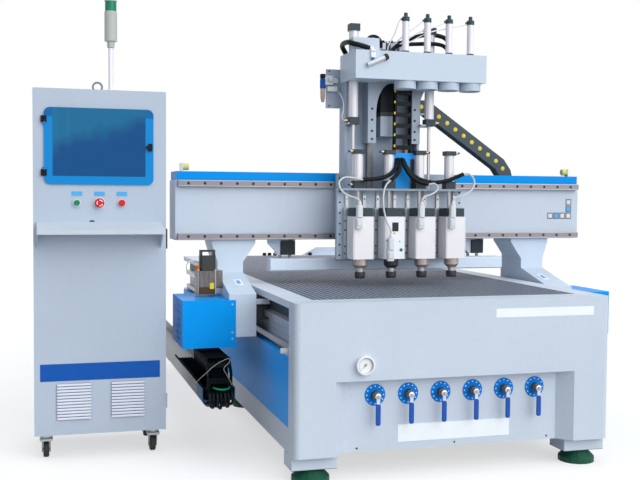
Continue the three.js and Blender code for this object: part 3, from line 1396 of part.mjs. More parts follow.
function makeMonitor() {
  const base = cabinetShelfHeight + cabinetWall + seatGap;
  const x = (windowLeft + windowRight) / 2;
  const front = cabinetFront + monitorSetback;
  const screen = prism('y', roundedOutline(x - monitorWidth / 2, x + monitorWidth / 2, base + monitorLift,
    base + monitorLift + monitorHeight, monitorFootThickness), front, front + monitorDepth);
  const neckBack = front + monitorDepth + monitorNeckDepth;
  const neck = box(x - monitorNeckWidth / 2, x + monitorNeckWidth / 2, front + monitorDepth - seatGap,
    neckBack,
    base, base + monitorLift + monitorHeight / 2);
  const foot = box(x - monitorFootWidth / 2, x + monitorFootWidth / 2, neckBack - monitorFootDepth / 2,
    neckBack + monitorFootDepth / 2, base, base + monitorFootThickness);
  piece('monitor', join(screen, neck, foot), finish(black, 0.5, 0));
}

function makeKeyboardShelf() {
  const x0 = cabinetLeft + shelfInset;
  const x1 = cabinetRight - shelfInset - shelfSheet * 2;
  const back = cabinetFront - seatGap;
  const front = back - shelfReach;
  const frontTop = shelfBack - shelfFall;
  const tray = prism('x', [[back, shelfBack], [front, frontTop], [front, frontTop - shelfLip],
    [front + shelfSheet, frontTop - shelfLip], [front + shelfSheet, frontTop - shelfSheet],
    [back - shelfSheet, shelfBack - shelfSheet], [back - shelfSheet, shelfBack - shelfFlange],
    [back, shelfBack - shelfFlange]], x0, x1);
  const side = [[back, shelfBack], [front, frontTop], [front, frontTop - shelfLip],
    [front + shelfReach / 3, frontTop - shelfLip], [back, shelfBack - shelfBracketDrop]];
  piece('keyboard_shelf', join(tray, prism('x', side, x0, x0 + shelfSheet), prism('x', side,
    x1 - shelfSheet, x1)),
    finish(cabinetPaint, 0.4, 0.1));
}

function makeButtons() {
  const names = ['start_button', 'emergency_stop_button', 'stop_button'];
  const radii = [startRadius, emergencyRadius, stopRadius];
  const heights = [buttonCapHeight, emergencyCapHeight, buttonCapHeight];
  const colours = ['#1fa04a', '#d3202a', '#d3202a'];
  buttonPlaces.forEach((x, k) => {
    const rear = cabinetFront - buttonStandOff;
    const front = rear - heights[k];
    const cap = turned('y', [[0, front], [radii[k] * buttonCrownShare, front], [radii[k],
      front + heights[k] / 3], [radii[k], rear],
      [0, rear]], x, buttonHeight);
    const stem = rod('y', buttonStemRadius, rear - seatGap, rear + buttonStemLength, x, buttonHeight,
      smallSides);
    piece(names[k], join(cap, stem), finish(colours[k], 0.35, 0));
  });
}

function makeRearDoor() {
  const front = cabinetBack + seatGap;
  const back = front + rearDoorThickness;
  const door = box(cabinetLeft + rearDoorMargin, cabinetRight - rearDoorMargin, front, back,
    cabinetBottom + rearDoorMargin, cabinetTop - rearDoorMargin);
  const hinges = [cabinetBottom + rearHingeInset,
    cabinetTop - rearHingeInset - rearHingeLength].map((z) => rod('z',
    rearHingeRadius, z, z + rearHingeLength, cabinetLeft + rearDoorMargin, back, smallSides));
  const handleMiddle = (cabinetBottom + cabinetTop) / 2;
  const handle = box(cabinetRight - rearDoorMargin - doorHandleWidth * 2,
    cabinetRight - rearDoorMargin - doorHandleWidth,
    back - seatGap, back + doorHandleDepth, handleMiddle - doorHandleHeight / 2,
      handleMiddle + doorHandleHeight / 2);
  piece('rear_door', join(door, hinges, handle), finish(cabinetPaint, 0.45, 0.1));
}

function makeLock() {
  const x = cabinetRight + seatGap;
  const y = cabinetFront + lockInset;
  const lever = prism('x', roundedOutline(y - lockWidth / 2, y + lockWidth / 2, lockHeight - lockLength / 2,
    lockHeight + lockLength / 2, lockWidth / 3), x + seatGap * 4, x + lockThickness);
  const hub = rod('x', lockHubRadius, x, x + lockThickness, y,
    lockHeight + lockLength / 2 - lockHubRadius, smallSides);
  piece('lock_lever', join(lever, hub), finish('#4a2f38', 0.4, 0.3));
}

function makeSignalTower() {
  const rings = [];
  let z = poleTop + lampNeckHeight + lampBodyHeight;
  for (let k = 0; k < lensCount; k += 1) {
    rings.push([lampRadius, z], [lensRadius, z], [lensRadius, z + lensHeight], [lampRadius,
      z + lensHeight]);
    z += lensHeight + lensGap;
  }
  const foot = cabinetTop + seatGap;
  const points = [[0, foot], [poleFootRadius, foot], [poleFootRadius, foot + poleFootHeight],
    [poleRadius, foot + poleFootHeight], [poleRadius, poleTop], [poleRadius * poleCollarShare, poleTop],
    [poleRadius * poleCollarShare, poleTop + lampNeckHeight], [lampRadius, poleTop + lampNeckHeight],
      ...rings,
    [lampRadius, z], [lampRadius * lampCrownShare, z + lampCapHeight], [0, z + lampCapHeight]];
  piece('signal_tower', turned('z', points, towerAcross, (cabinetFront + cabinetBack) / 2),
    finish('#9aa7b2', 0.4, 0.2));
}

makeBedFrame();
makeFrontPanel();
makeTable();
makeSidePanel('side_panel_left', -1);
makeSidePanel('side_panel_right', 1);
makeVacuumManifold();
makeLevers();
makeGauge();
makeTray();
makeFloorChain();
makeBeam();
makeBeamCover();
makeColumn('column_left', -1);
makeColumn('column_right', 1);
makeMotorCover('motor_cover_left', -1);
makeMotorCover('motor_cover_right', 1);
makeLubePump();
makePusher();
makeCarriage();
makeZMotor();
makeBeamChain();
makeManifold();
makeGates();
makeZPlate();
makeHeadChain();
spindlePlaces.forEach((x, k) => makeSpindle(x, k + 1));
makeCabinet();
makeWindow();
makeMonitor();
makeKeyboardShelf();
makeButtons();
makeRearDoor();
makeLock();
makeSignalTower();
makeCasters();

// The origin is the middle of the whole machine's footprint, on the floor
machine.updateMatrixWorld(true);
const footprint = new THREE.Box3().setFromObject(machine).getCenter(new THREE.Vector3());
machine.position.set(-footprint.x, -footprint.y, 0);
const model = new THREE.Group();
model.add(machine);
model.updateMatrixWorld(true);

export default model;
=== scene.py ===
"""Woodworking machining center: finishes, fittings, cables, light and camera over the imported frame.

Sizes are in millimetres from the machine's own datum: x from the middle of the bed to the right,
y from the front panel's face to the rear, and z up from the floor.
"""
from __future__ import annotations

import functools
import json
import logging
import math
import operator
from dataclasses import dataclass
from enum import Enum
from typing import Callable, Sequence

import bmesh
import bpy
import numpy as np
from mathutils import Matrix, Vector

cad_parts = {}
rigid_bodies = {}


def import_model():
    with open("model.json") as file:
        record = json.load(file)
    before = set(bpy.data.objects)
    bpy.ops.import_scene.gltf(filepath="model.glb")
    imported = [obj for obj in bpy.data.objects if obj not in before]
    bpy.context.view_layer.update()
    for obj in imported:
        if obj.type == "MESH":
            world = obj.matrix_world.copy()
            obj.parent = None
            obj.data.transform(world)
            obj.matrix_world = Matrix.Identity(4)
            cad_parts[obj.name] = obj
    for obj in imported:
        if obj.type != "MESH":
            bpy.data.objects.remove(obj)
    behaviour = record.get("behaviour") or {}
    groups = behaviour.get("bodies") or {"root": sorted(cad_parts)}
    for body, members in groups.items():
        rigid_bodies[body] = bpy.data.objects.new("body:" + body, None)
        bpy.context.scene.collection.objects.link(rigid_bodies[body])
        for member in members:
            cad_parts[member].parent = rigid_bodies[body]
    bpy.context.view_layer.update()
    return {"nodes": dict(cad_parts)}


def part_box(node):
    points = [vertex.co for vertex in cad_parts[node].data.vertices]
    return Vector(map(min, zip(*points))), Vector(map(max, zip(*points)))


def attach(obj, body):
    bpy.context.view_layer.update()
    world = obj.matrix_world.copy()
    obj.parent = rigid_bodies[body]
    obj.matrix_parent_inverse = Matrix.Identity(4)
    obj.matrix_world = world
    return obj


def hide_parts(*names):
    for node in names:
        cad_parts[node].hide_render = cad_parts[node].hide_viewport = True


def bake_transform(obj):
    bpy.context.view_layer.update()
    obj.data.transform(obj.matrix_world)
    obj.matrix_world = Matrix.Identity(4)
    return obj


SHARP = 32  # degrees: edges sharper than this stay sharp
MERGE = 2e-6  # metres: points closer than this become one
TIP = 0.05  # millimetres: the least radius of a turned form
NARROW = 2.001  # a width over this is a little less than its half, so that no corner meets the next
BROAD_SOIL = 260  # millimetres: the grain of the broad soiling

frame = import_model()

log = logging.getLogger("machining_center")
Tone = tuple[float, float, float]
Point = tuple[float, float, float]
Pair = tuple[float, float]
Span = tuple[float | None, float | None]

panel_low, panel_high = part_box("front_panel")
DATUM = np.array([(panel_low.x + panel_high.x) / 2, panel_low.y, 0])


def metres(points: np.ndarray | Sequence) -> np.ndarray:
    """Machine millimetres turned into metres of the row frame: divided by 1000, then moved to the datum."""
    return np.asarray(points, float) / 1000 + DATUM


# Shapes

@dataclass
class Form:
    """A mesh in machine millimetres: its points, and its faces in groups of one size."""

    points: np.ndarray
    faces: list[np.ndarray]

    @staticmethod
    def joined(*forms: Form) -> Form:
        """All the forms as one, each group of faces counted on from the points before it."""
        starts = np.cumsum([0] + [len(form.points) for form in forms[:-1]])
        faces = [group + start for form, start in zip(forms, starts) for group in form.faces]
        return Form(np.concatenate([form.points for form in forms]), faces)

    def moved(self, x: float, y: float, z: float) -> Form:
        """The same form a step away."""
        return Form(self.points + (x, y, z), self.faces)

    def turned(self, angle: float, axis: str, centre: Point) -> Form:
        """The same form turned by an angle in radians about a line along an axis through centre."""
        turn = np.array(Matrix.Rotation(angle, 3, axis.upper()))
        return Form((self.points - centre) @ turn.T + centre, self.faces)

    def both(self) -> Form:
        """The form together with its mirror image on the machine's other side."""
        return Form.joined(self, Form(self.points * (-1, 1, 1), self.faces))


def loft(rings: np.ndarray, ring_closed: bool = False) -> Form:
    """A closed skin through rings of points, each ring joined to the next by quads.

    Args:
        rings: points of shape (rings, points in a ring, 3).
        ring_closed: whether the last ring joins the first, as on a torus, or else both are filled.
    Returns:
        The skin.
    """
    count, size = rings.shape[:2]
    i = np.arange(size)
    j = (i + 1) % size
    base = np.arange(count if ring_closed else count - 1)[:, None] * size
    after = (base + size) % (count * size)
    faces = [np.stack([base + i, base + j, after + j, after + i], -1).reshape(-1, 4)]
    if not ring_closed:
        faces += [i[None, ::-1], (count - 1) * size + i[None]]
    return Form(rings.reshape(-1, 3), faces)


def along(axis: str, u: np.ndarray, v: np.ndarray, w: np.ndarray) -> np.ndarray:
    """Points from two cross coordinates u, v and one along the axis: (u, v) is (y, z), (x, z) or (x, y)."""
    u, v, w = np.broadcast_arrays(u, v, w)
    return np.stack({"x": (w, u, v), "y": (u, w, v), "z": (u, v, w)}[axis], -1)


def outline(low: Sequence[float], high: Sequence[float], corner: float, steps: int) -> np.ndarray:
    """A rounded rectangle: each corner is a quarter circle of that radius, in equal angles."""
    corner = max(min(corner, (high[0] - low[0]) / NARROW, (high[1] - low[1]) / NARROW), 1e-4)
    quarter = np.linspace(0, math.pi / 2, steps + 1)
    angles = (quarter + np.arange(4)[:, None] * math.pi / 2).ravel()
    ends = np.repeat(np.array([[high[0], high[1]], [low[0], high[1]], [low[0], low[1]], [high[0], low[1]]]),
                     steps + 1, 0)
    inward = np.repeat(np.array([[-1, -1], [1, -1], [1, 1], [-1, 1]]), steps + 1, 0)
    return ends + inward * corner + corner * np.stack([np.cos(angles), np.sin(angles)], -1)


def slab(low: Point, high: Point, edge: float, corner: float, axis: str = "z", steps: int = 2) -> Form:
    """A block whose outline across the axis is a rounded rectangle and whose rims are chamfered.

    Each ring is the outline drawn inwards by the chamfer at both ends, and not drawn in between.
    """
    lift = "xyz".index(axis)
    near, far = np.delete(low, lift), np.delete(high, lift)
    base, top = low[lift], high[lift]
    edge = min(edge, (top - base) / 2.01)
    return loft(np.array([
        along(axis, *outline(near + inset, far - inset, max(corner - inset / 2, 0.01), steps).T, height)
        for inset, height in ((edge, base), (0, base + edge), (0, top - edge), (edge, top))]))


def lathe(profile: Sequence[Pair], axis: str, centre: Pair, sides: int = 24) -> Form:
    """A profile of (radius, place on the axis) pairs turned about the axis, with both ends filled."""
    angle = np.linspace(0, 2 * math.pi, sides, endpoint=False)
    radius = np.array([max(r, TIP) for r, _ in profile])[:, None]
    place = np.array([p for _, p in profile])[:, None]
    return loft(along(axis, centre[0] + radius * np.cos(angle), centre[1] + radius * np.sin(angle), place))


def washer(inner: float, outer: float, low: float, high: float, axis: str, centre: Pair, sides: int,
           edge: float) -> Form:
    """A ring of rectangular section with chamfered outer rims, turned about the axis."""
    profile = np.array([[inner, low], [outer - edge, low], [outer, low + edge], [outer, high - edge],
                        [outer - edge, high], [inner, high]])
    angle = np.linspace(0, 2 * math.pi, sides, endpoint=False)[:, None]
    return loft(along(axis, centre[0] + profile[:, 0] * np.cos(angle),
                      centre[1] + profile[:, 0] * np.sin(angle), profile[:, 1]), ring_closed=True)


def spline(points: Sequence[Point], per_span: int = 8) -> np.ndarray:
    """A smooth curve through the points: on each span the Catmull-Rom cubic of its four neighbours."""
    p = np.asarray(points, float)
    p = np.concatenate([2 * p[:1] - p[1:2], p, 2 * p[-1:] - p[-2:-1]])
    t = np.linspace(0, 1, per_span, endpoint=False)[None, :, None]
    a, b, c, d = (p[k:len(p) - 3 + k, None] for k in range(4))
    curve = 0.5 * (2 * b + (c - a) * t + (2 * a - 5 * b + 4 * c - d) * t ** 2
                   + (3 * b - 3 * c + d - a) * t ** 3)
    return np.concatenate([curve.reshape(-1, 3), p[-2:-1]])


def lengths(path: np.ndarray) -> np.ndarray:
    """How far along a line of points each of them is."""
    return np.concatenate([[0], np.cumsum(np.linalg.norm(np.diff(path, axis=0), axis=1))])


def resampled(path: np.ndarray, step: float) -> np.ndarray:
    """The same line with points at equal lengths along it, about one step apart."""
    reach = lengths(path)
    even = np.linspace(0, reach[-1], max(round(reach[-1] / step), 3) + 1)
    return np.stack([np.interp(even, reach, path[:, k]) for k in range(3)], -1)


def tube(path: np.ndarray, radius: float, sides: int, wrap: float = 0, pitch: float = 1) -> Form:
    """A round skin along a line of points, with an optional spiral ridge.

    The section's first direction is across the line's own best plane, and the second is square to it
    and to the line. The ridge lifts the radius by wrap times the fourth power of the cosine of half the
    angle between a point and a helix of that pitch.
    """
    tangent = np.gradient(path, axis=0)
    tangent /= np.linalg.norm(tangent, axis=1)[:, None]
    across = np.linalg.svd(path - path.mean(0))[2][-1]
    side = across - (tangent @ across)[:, None] * tangent
    side /= np.linalg.norm(side, axis=1)[:, None]
    other = np.cross(tangent, side)
    angle = np.linspace(0, 2 * math.pi, sides, endpoint=False)[None]
    size = radius + wrap * np.cos((angle - 2 * math.pi * lengths(path)[:, None] / pitch) / 2) ** 4
    return loft(path[:, None] + (np.cos(angle) * size)[..., None] * side[:, None]
                + (np.sin(angle) * size)[..., None] * other[:, None])


def walls(x: np.ndarray, y: np.ndarray, tops: np.ndarray, base: float) -> np.ndarray:
    """Quads that stand between unequal neighbours along x and at both ends, of shape (quads, 4, 3)."""
    padded = np.pad(tops, ((1, 1), (0, 0)), constant_values=base)
    i, j = np.nonzero(np.abs(np.diff(padded, axis=0)) > 1e-6)
    before, after = padded[i, j], padded[i + 1, j]
    return np.stack([np.stack([x[i], y[j + step], height], -1)
                     for step, height in ((0, before), (1, before), (1, after), (0, after))], -2)


def terrace(x: np.ndarray, y: np.ndarray, tops: np.ndarray, base: float) -> Form:
    """A closed block over a grid of cells, each with its own top, as whole arrays of quads.

    Args:
        x: cell borders along x, one more than there are cells.
        y: cell borders along y.
        tops: heights of shape (cells along x, cells along y).
        base: height of the bottom.
    Returns:
        The block with its doubles not yet merged.
    """
    i, j = np.indices(tops.shape).reshape(2, -1)
    flats = [np.stack([np.stack([x[i + u], y[j + v], level], -1) for u, v in ((0, 0), (1, 0), (1, 1), (0, 1))], -2)
             for level in (tops.ravel(), np.full(tops.size, base))]
    quads = np.concatenate([*flats, walls(x, y, tops, base), walls(y, x, tops.T, base)[..., [1, 0, 2]]])
    return Form(quads.reshape(-1, 3), [np.arange(quads.size // 3).reshape(-1, 4)])


# Finishes

def maths(operation: str, clamp: bool = False) -> Callable[..., Value]:
    """A method for values: a Math node on the value and others."""
    def method(self: Value, *others: Value | float) -> Value:
        """The node's output."""
        return self.graph.node("ShaderNodeMath", {"operation": operation, "use_clamp": clamp},
                               dict(enumerate([self, *others])))
    return method


class Value:
    """A number that varies over a surface: a node's output socket with the usual operators.

    wrapped leaves what is over after whole steps of a pitch, and held adds and keeps within zero and one.
    """

    __add__ = __radd__ = maths("ADD")
    __sub__ = maths("SUBTRACT")
    __mul__ = __rmul__ = maths("MULTIPLY")
    __truediv__ = maths("DIVIDE")
    __gt__, __lt__ = maths("GREATER_THAN"), maths("LESS_THAN")
    size, power, most = maths("ABSOLUTE"), maths("POWER"), maths("MAXIMUM")
    wrapped, held = maths("FLOORED_MODULO"), maths("ADD", clamp=True)

    def __init__(self, graph: Graph, socket: bpy.types.NodeSocket) -> None:
        """Keeps the graph that the socket is in."""
        self.graph, self.socket = graph, socket

    def __rsub__(self, other: float) -> Value:
        """A number less this value."""
        return self * -1 + other

    def clamped(self) -> Value:
        """The value held between zero and one."""
        return self.held(0)


@dataclass(frozen=True)
class Graph:
    """A node tree, with one way to add any node."""

    tree: bpy.types.NodeTree

    def node(self, kind: str, settings: dict | None = None, sockets: dict | None = None,
             output: str | int = 0) -> Value:
        """Adds a node: its settings first, then values or links of its sockets.

        Args:
            kind: the node's type.
            settings: its properties.
            sockets: values or links by socket name or number.
            output: the socket that is returned.
        Returns:
            The output as a value.
        """
        made = self.tree.nodes.new(kind)
        for name, value in (settings or {}).items():
            setattr(made, name, value)
        for name, value in (sockets or {}).items():
            self.feed(made.inputs[name], value)
        return Value(self, made.outputs[output])

    def feed(self, socket: bpy.types.NodeSocket, value: Value | float | Sequence[float]) -> None:
        """Links a value to a socket, or sets the socket's own number or colour."""
        if isinstance(value, Value):
            self.tree.links.new(value.socket, socket)
        else:
            socket.default_value = (*value, 1) if socket.type == "RGBA" else value

    def mixed(self, factor: Value | float, first: Value | Tone, second: Value | Tone) -> Value:
        """Two colours mixed by a factor."""
        return self.node("ShaderNodeMix", {"data_type": "RGBA"}, {0: factor, 6: first, 7: second}, 2)

    def mixed_shaders(self, factor: Value | float, first: Value, second: Value) -> Value:
        """Two shaders mixed by a factor."""
        return self.node("ShaderNodeMixShader", sockets={0: factor, 1: first, 2: second})

    def place(self) -> tuple[Value, list[Value]]:
        """The point in machine millimetres, as a vector and as its three parts."""
        spot = self.node("ShaderNodeMapping", sockets={
            "Vector": self.node("ShaderNodeTexCoord", output="Object"), "Location": -1000 * DATUM,
            "Scale": (1000,) * 3})
        outputs = self.node("ShaderNodeSeparateXYZ", sockets={0: spot}).socket.node.outputs
        return spot, [Value(self, part) for part in outputs]

    def texture(self, kind: str, spot: Value, grain: float | Point, **numbers: float) -> Value:
        """A texture whose lumps are about the grain's size, in millimetres, one size or one for each axis."""
        sizes = grain if isinstance(grain, tuple) else (grain,) * 3
        spot = self.node("ShaderNodeMapping", sockets={"Vector": spot, "Scale": [1 / size for size in sizes]})
        return self.node(kind, sockets={"Vector": spot, "Scale": 1, **numbers})

    def noise(self, spot: Value, grain: float | Point, detail: float = 2, rough: float = 0.5) -> Value:
        """Noise of a grain."""
        return self.texture("ShaderNodeTexNoise", spot, grain, Detail=detail, Roughness=rough)


class Grain(Enum):
    """What a surface is like close up: the grain's size in millimetres and its depth in metres."""

    POWDER = (1.6, 0.00018)  # baked powder paint with a fine orange peel
    GLOSS = (4, 0.00012)  # sprayed paint with a faint ripple
    GROUND = (1.2, 0.0002)  # steel ground lengthwise
    MILLED = (2.2, 0.0002)  # milled or cast light metal
    MOULDED = (0.9, 0.00012)  # moulded plastic with a fine grain
    RUBBER = (1.4, 0.0003)  # dull rubber
    BOARD = (1.6, 0.0003)  # dense machined board
    ZINC = (30, 0.0004)  # zinc coated sheet with faint spangles
    CLEAR = (18, 0.00005)  # smooth clear plastic or glass


@dataclass(frozen=True)
class Look:
    """A colour in linear light, with how rough, metallic and mirroring it is."""

    tone: Tone
    rough: float = 0.45
    metal: float = 0.0
    shine: float = 0.25


@dataclass(frozen=True)
class Zone:
    """A part of a surface with a look of its own: inside a box in machine millimetres.

    With mirror set, x is measured from the machine's middle to both sides.
    """

    look: Look
    x: Span = (None, None)
    y: Span = (None, None)
    z: Span = (None, None)
    mirror: bool = False

    def mask(self, parts: list[Value]) -> Value:
        """One inside the box and zero outside: the product of a step at each given side."""
        x, y, z = parts
        sides = list(zip((x.size() if self.mirror else x, y, z), (self.x, self.y, self.z)))
        steps = [value > low for value, (low, _) in sides if low is not None]
        steps += [value < high for value, (_, high) in sides if high is not None]
        return functools.reduce(operator.mul, steps)


@dataclass(frozen=True)
class Finish:
    """A material: a look, the grain over it, zones with other looks, and the record's slot."""

    name: str
    slot: str
    look: Look
    grain: Grain = Grain.POWDER
    zones: tuple[Zone, ...] = ()
    lengthwise: str = "x"
    soil: float = 0.10
    clear: Zone | None = None
    alpha: float = 1.0
    extra: Callable[[Graph, Value, list[Value], Value], Value] | None = None

    def material(self) -> bpy.types.Material:
        """The finished material, made once."""
        known = bpy.data.materials.get(self.name)
        return known if known else self._build()

    def _build(self) -> bpy.types.Material:
        """Base colour, roughness and metal through the zones, then soil, grain and bump."""
        material = bpy.data.materials.new(self.name)
        material.use_nodes = True
        graph = Graph(material.node_tree)
        spot, parts = graph.place()
        tone = graph.mixed(0, self.look.tone, self.look.tone)
        rough, metal = self.look.rough, self.look.metal
        for zone in self.zones:
            mask = zone.mask(parts)
            tone = graph.mixed(mask, tone, zone.look.tone)
            rough = (zone.look.rough - rough) * mask + rough
            if zone.look.metal != metal:
                metal = (zone.look.metal - metal) * mask + metal
        if self.extra:
            tone = self.extra(graph, spot, parts, tone)
        broad = graph.noise(spot, BROAD_SOIL, 3)
        fine, height = self._grain(graph, spot)
        shade = broad * self.soil * 0.9 + fine * self.soil * 0.8 + (1 - self.soil * 0.85)
        for name, value in {
            "Base Color": graph.node("ShaderNodeVectorMath", {"operation": "SCALE"}, {0: tone, 3: shade}),
            "Roughness": ((broad + fine) * 0.12 - 0.12 + rough).clamped(), "Metallic": metal,
            "Specular IOR Level": self.look.shine,
            "Alpha": self.clear.mask(parts) * (self.alpha - 1) + 1 if self.clear else self.alpha,
            "Normal": graph.node("ShaderNodeBump", sockets={"Height": height, "Strength": 0.5,
                                                            "Distance": self.grain.value[1]})}.items():
            graph.feed(graph.tree.nodes["Principled BSDF"].inputs[name], value)
        return material

    def _grain(self, graph: Graph, spot: Value) -> tuple[Value, Value]:
        """The close-up pattern: a shade and a height."""
        size = self.grain.value[0]
        if self.grain is Grain.GROUND:
            lines = graph.noise(spot, tuple(160 if axis == self.lengthwise else size for axis in "xyz"), 3)
            return lines, lines
        if self.grain is Grain.BOARD:
            return graph.noise(spot, 9, 4, 0.7), graph.noise(spot, size, 3)
        if self.grain is Grain.ZINC:
            return graph.texture("ShaderNodeTexVoronoi", spot, 14), graph.noise(spot, size)
        return graph.noise(spot, size * 14, 3, 0.6), graph.noise(spot, size)

    def on_nodes(self, *names: str) -> None:
        """Gives the finish to CAD nodes through their material slots."""
        for name in names:
            node = frame["nodes"][name]
            if not node.material_slots:
                node.data.materials.append(None)
            for place in node.material_slots:
                place.material = self.material()


def placed(name: str, data: bpy.types.ID) -> bpy.types.Object:
    """A new object in the scene, at the origin."""
    made = bpy.data.objects.new(name, data)
    bpy.context.scene.collection.objects.link(made)
    return made


def piece(name: str, forms: Form | Sequence[Form], finish: Finish, body: str | None,
          replaces: Sequence[str] = ()) -> bpy.types.Object:
    """Makes forms into one object at the origin, finished, shaded by angle and riding on its body.

    Args:
        name: the piece's name.
        forms: its mesh in machine millimetres, in one form or in several.
        finish: its material.
        body: the CAD body it rides on, or None where it rides on no body.
        replaces: the CAD nodes it stands for.
    Returns:
        The object.
    """
    mesh = bpy.data.meshes.new(name)
    form = forms if isinstance(forms, Form) else Form.joined(*forms)
    mesh.from_pydata(metres(form.points).tolist(), [], [face for group in form.faces for face in group.tolist()])
    shell = bmesh.new()
    shell.from_mesh(mesh)
    bmesh.ops.remove_doubles(shell, verts=shell.verts, dist=MERGE)
    bmesh.ops.recalc_face_normals(shell, faces=shell.faces)
    shell.to_mesh(mesh)
    shell.free()
    mesh.polygons.foreach_set("use_smooth", np.ones(len(mesh.polygons), bool))
    mesh.set_sharp_from_angle(angle=math.radians(SHARP))
    mesh.materials.append(finish.material())
    made = placed(name, mesh)
    if body:
        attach(made, body)
    if replaces:
        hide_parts(*replaces)
    return made


# Looks and finishes

GAUGE = (-434.0, 502.0)  # x and z of the gauge's middle
GRID_SIDE, GRID_FRONT, GRID_REAR, GRID_LOW = 628.5, 124.8, 3090.5, 764.4  # where the table's dark board ends

PAINT = Look((0.56, 0.635, 0.74), 0.42)
STEEL = Look((0.46, 0.45, 0.46), 0.32, 0.6)
DARK = Look((0.032, 0.052, 0.060), 0.5, shine=0.12)
SILVER = Look((0.70, 0.69, 0.74), 0.36, 0.25)
BLUE = Look((0.0, 0.30, 0.83), 0.38, shine=0.08)
CREAM = Look((0.74, 0.77, 0.80), 0.5)
BLACK = Look((0.008, 0.010, 0.012), 0.5, shine=0.12)
EDGE = Look((0.64, 0.72, 0.83), 0.42)
CABINET_PAINT = Look((0.455, 0.53, 0.64), 0.42)


def dial_marks(graph: Graph, spot: Value, parts: list[Value], tone: Value) -> Value:
    """A gauge's scale: short marks at equal angles within a ring, left out at the bottom quarter."""
    across, up = parts[0] - GAUGE[0], parts[2] - GAUGE[1]
    angle = graph.node("ShaderNodeMath", {"operation": "ARCTAN2"}, {0: across, 1: up})
    reach = (across * across + up * up).power(0.5)
    mark = (angle.wrapped(math.pi / 20) < 0.035) * (reach > 24) * (reach < 29.5)
    rim = (reach > 29.5) * (reach < 30.3)
    return graph.mixed((mark + rim).clamped() * (angle.size() < 2.36), tone, (0.16, 0.16, 0.18))


def table_sheen(graph: Graph, spot: Value, parts: list[Value], tone: Value) -> Value:
    """Board painted paler towards the rear, in patches and in straight tracks: a painted sheen, the board's gloss seen
    far off.
    """
    patches, tracks = graph.noise(spot, 330, 4, 0.65), graph.noise(spot, (34, 900, 34), 3)
    # painted sheen: a ramp that grows from the front towards the rear
    sheen_ramp = ((parts[1] - 500) / 1300).clamped()
    amount = (sheen_ramp * (patches * 0.9 + 0.3) + (tracks - 0.5) * 0.35 * sheen_ramp).clamped()
    board = Zone(EDGE, (None, GRID_SIDE), (GRID_FRONT, GRID_REAR), (GRID_LOW, 766), mirror=True)
    return graph.mixed(amount * board.mask(parts), tone, (0.30, 0.28, 0.33))


def pane_reflection(graph: Graph, spot: Value, parts: list[Value], tone: Value) -> Value:
    """A tinted pane with a painted reflection on it: a soft lighter field above a slanting uneven line, with pale
    upright folds at the left.
    """
    ripple, folds = graph.noise(spot, (120, 60, 150), 3, 0.6), graph.noise(spot, (26, 60, 700), 1)
    above = (parts[2] - 1382 - (parts[0] + 1640) * 0.36 + (ripple - 0.5) * 150) / 70
    amount = above.clamped() * 0.55 + ((folds - 0.5) * (parts[0] < -1590)).clamped() * 1.2
    inside = Zone(BLUE, x=(-1678, -1269), z=(1286, None)).mask(parts)
    return graph.mixed((amount * inside).clamped(), tone, (0.012, 0.20, 0.36))


def oil_level(graph: Graph, spot: Value, parts: list[Value], tone: Value) -> Value:
    """A smoked tank: darker amber oil below a level line, with pale upright streaks above it."""
    streaks = (graph.noise(spot, (7, 7, 60)) * 1.6 - 0.6).clamped()
    oily = graph.mixed(parts[2] < 768, graph.mixed(streaks, tone, (0.25, 0.24, 0.26)), (0.085, 0.042, 0.014))
    return graph.mixed(parts[2] < 845, tone, oily)


MACHINE = Finish("paint_machine", "machine_paint", PAINT)
CABINET = Finish("paint_cabinet", "cabinet_paint", CABINET_PAINT)
BRIGHT = Finish("steel_ground", "bright_steel", STEEL, Grain.GROUND)
BRIGHT_UPRIGHT = Finish("steel_ground_upright", "bright_steel", STEEL, Grain.GROUND, lengthwise="z")
BLACKENED = Finish("steel_blackened", "dark_steel", Look((0.030, 0.038, 0.043), 0.45, 0.15, 0.12), Grain.MILLED)
BLUE_PAINT = Finish("paint_blue", "blue_paint", Look((0.0, 0.33, 0.91), 0.38, shine=0.08), Grain.GLOSS)
SIDE_PAINT = Finish("paint_side", "blue_paint", Look((0.0, 0.35, 0.96), 0.40, shine=0.06), Grain.GLOSS)
RAIL = Finish("rail_ground", "bright_steel", Look((0.26, 0.245, 0.27), 0.36, 0.25), Grain.GROUND)
BARREL = Finish("barrel_aluminium", "head_aluminium", SILVER, Grain.GROUND, lengthwise="z", soil=0.06)
MOULDED = Finish("plastic_black", "black_plastic", BLACK, Grain.MOULDED)
WRAP = Finish("wrap_black", "black_plastic", Look((0.004, 0.007, 0.009), 0.42, shine=0.12), Grain.MOULDED)
SHADED = Finish("wrap_shaded", "black_plastic", Look((0.003, 0.005, 0.006), 0.8, shine=0), Grain.MOULDED)
LEAD = Finish("lead_white", "machine_paint", Look((0.60, 0.62, 0.66), 0.4), Grain.MOULDED)
PLUG = Finish("plug_pale", "head_aluminium", Look((0.70, 0.73, 0.76), 0.35), Grain.MOULDED)
BRASS = Finish("fitting_brass", "bright_steel", Look((0.52, 0.40, 0.20), 0.3, 0.8), Grain.MILLED)
BARE_PLATE = Finish("plate_bare", "machine_paint", Look((0.86, 0.91, 0.96), 0.35), Grain.GLOSS)
STRIP = Finish("strip_pale_blue", "blue_paint", Look((0.09, 0.42, 0.82), 0.4, shine=0.15), Grain.GLOSS)
BANNER = Finish("banner_blue", "blue_paint", Look((0.008, 0.095, 0.42), 0.35, shine=0.12), Grain.GLOSS)
ROSETTE = Finish("rosette_blue", "blue_paint", Look((0.002, 0.205, 0.69), 0.36, shine=0.08), Grain.GLOSS)
YELLOW = Finish("plastic_yellow", "blue_paint", Look((0.80, 0.62, 0.06), 0.4, shine=0.2), Grain.MOULDED)
GREEN = Finish("plastic_green", "green_plastic", Look((0.0, 0.24, 0.09), 0.35, shine=0.2), Grain.MOULDED)
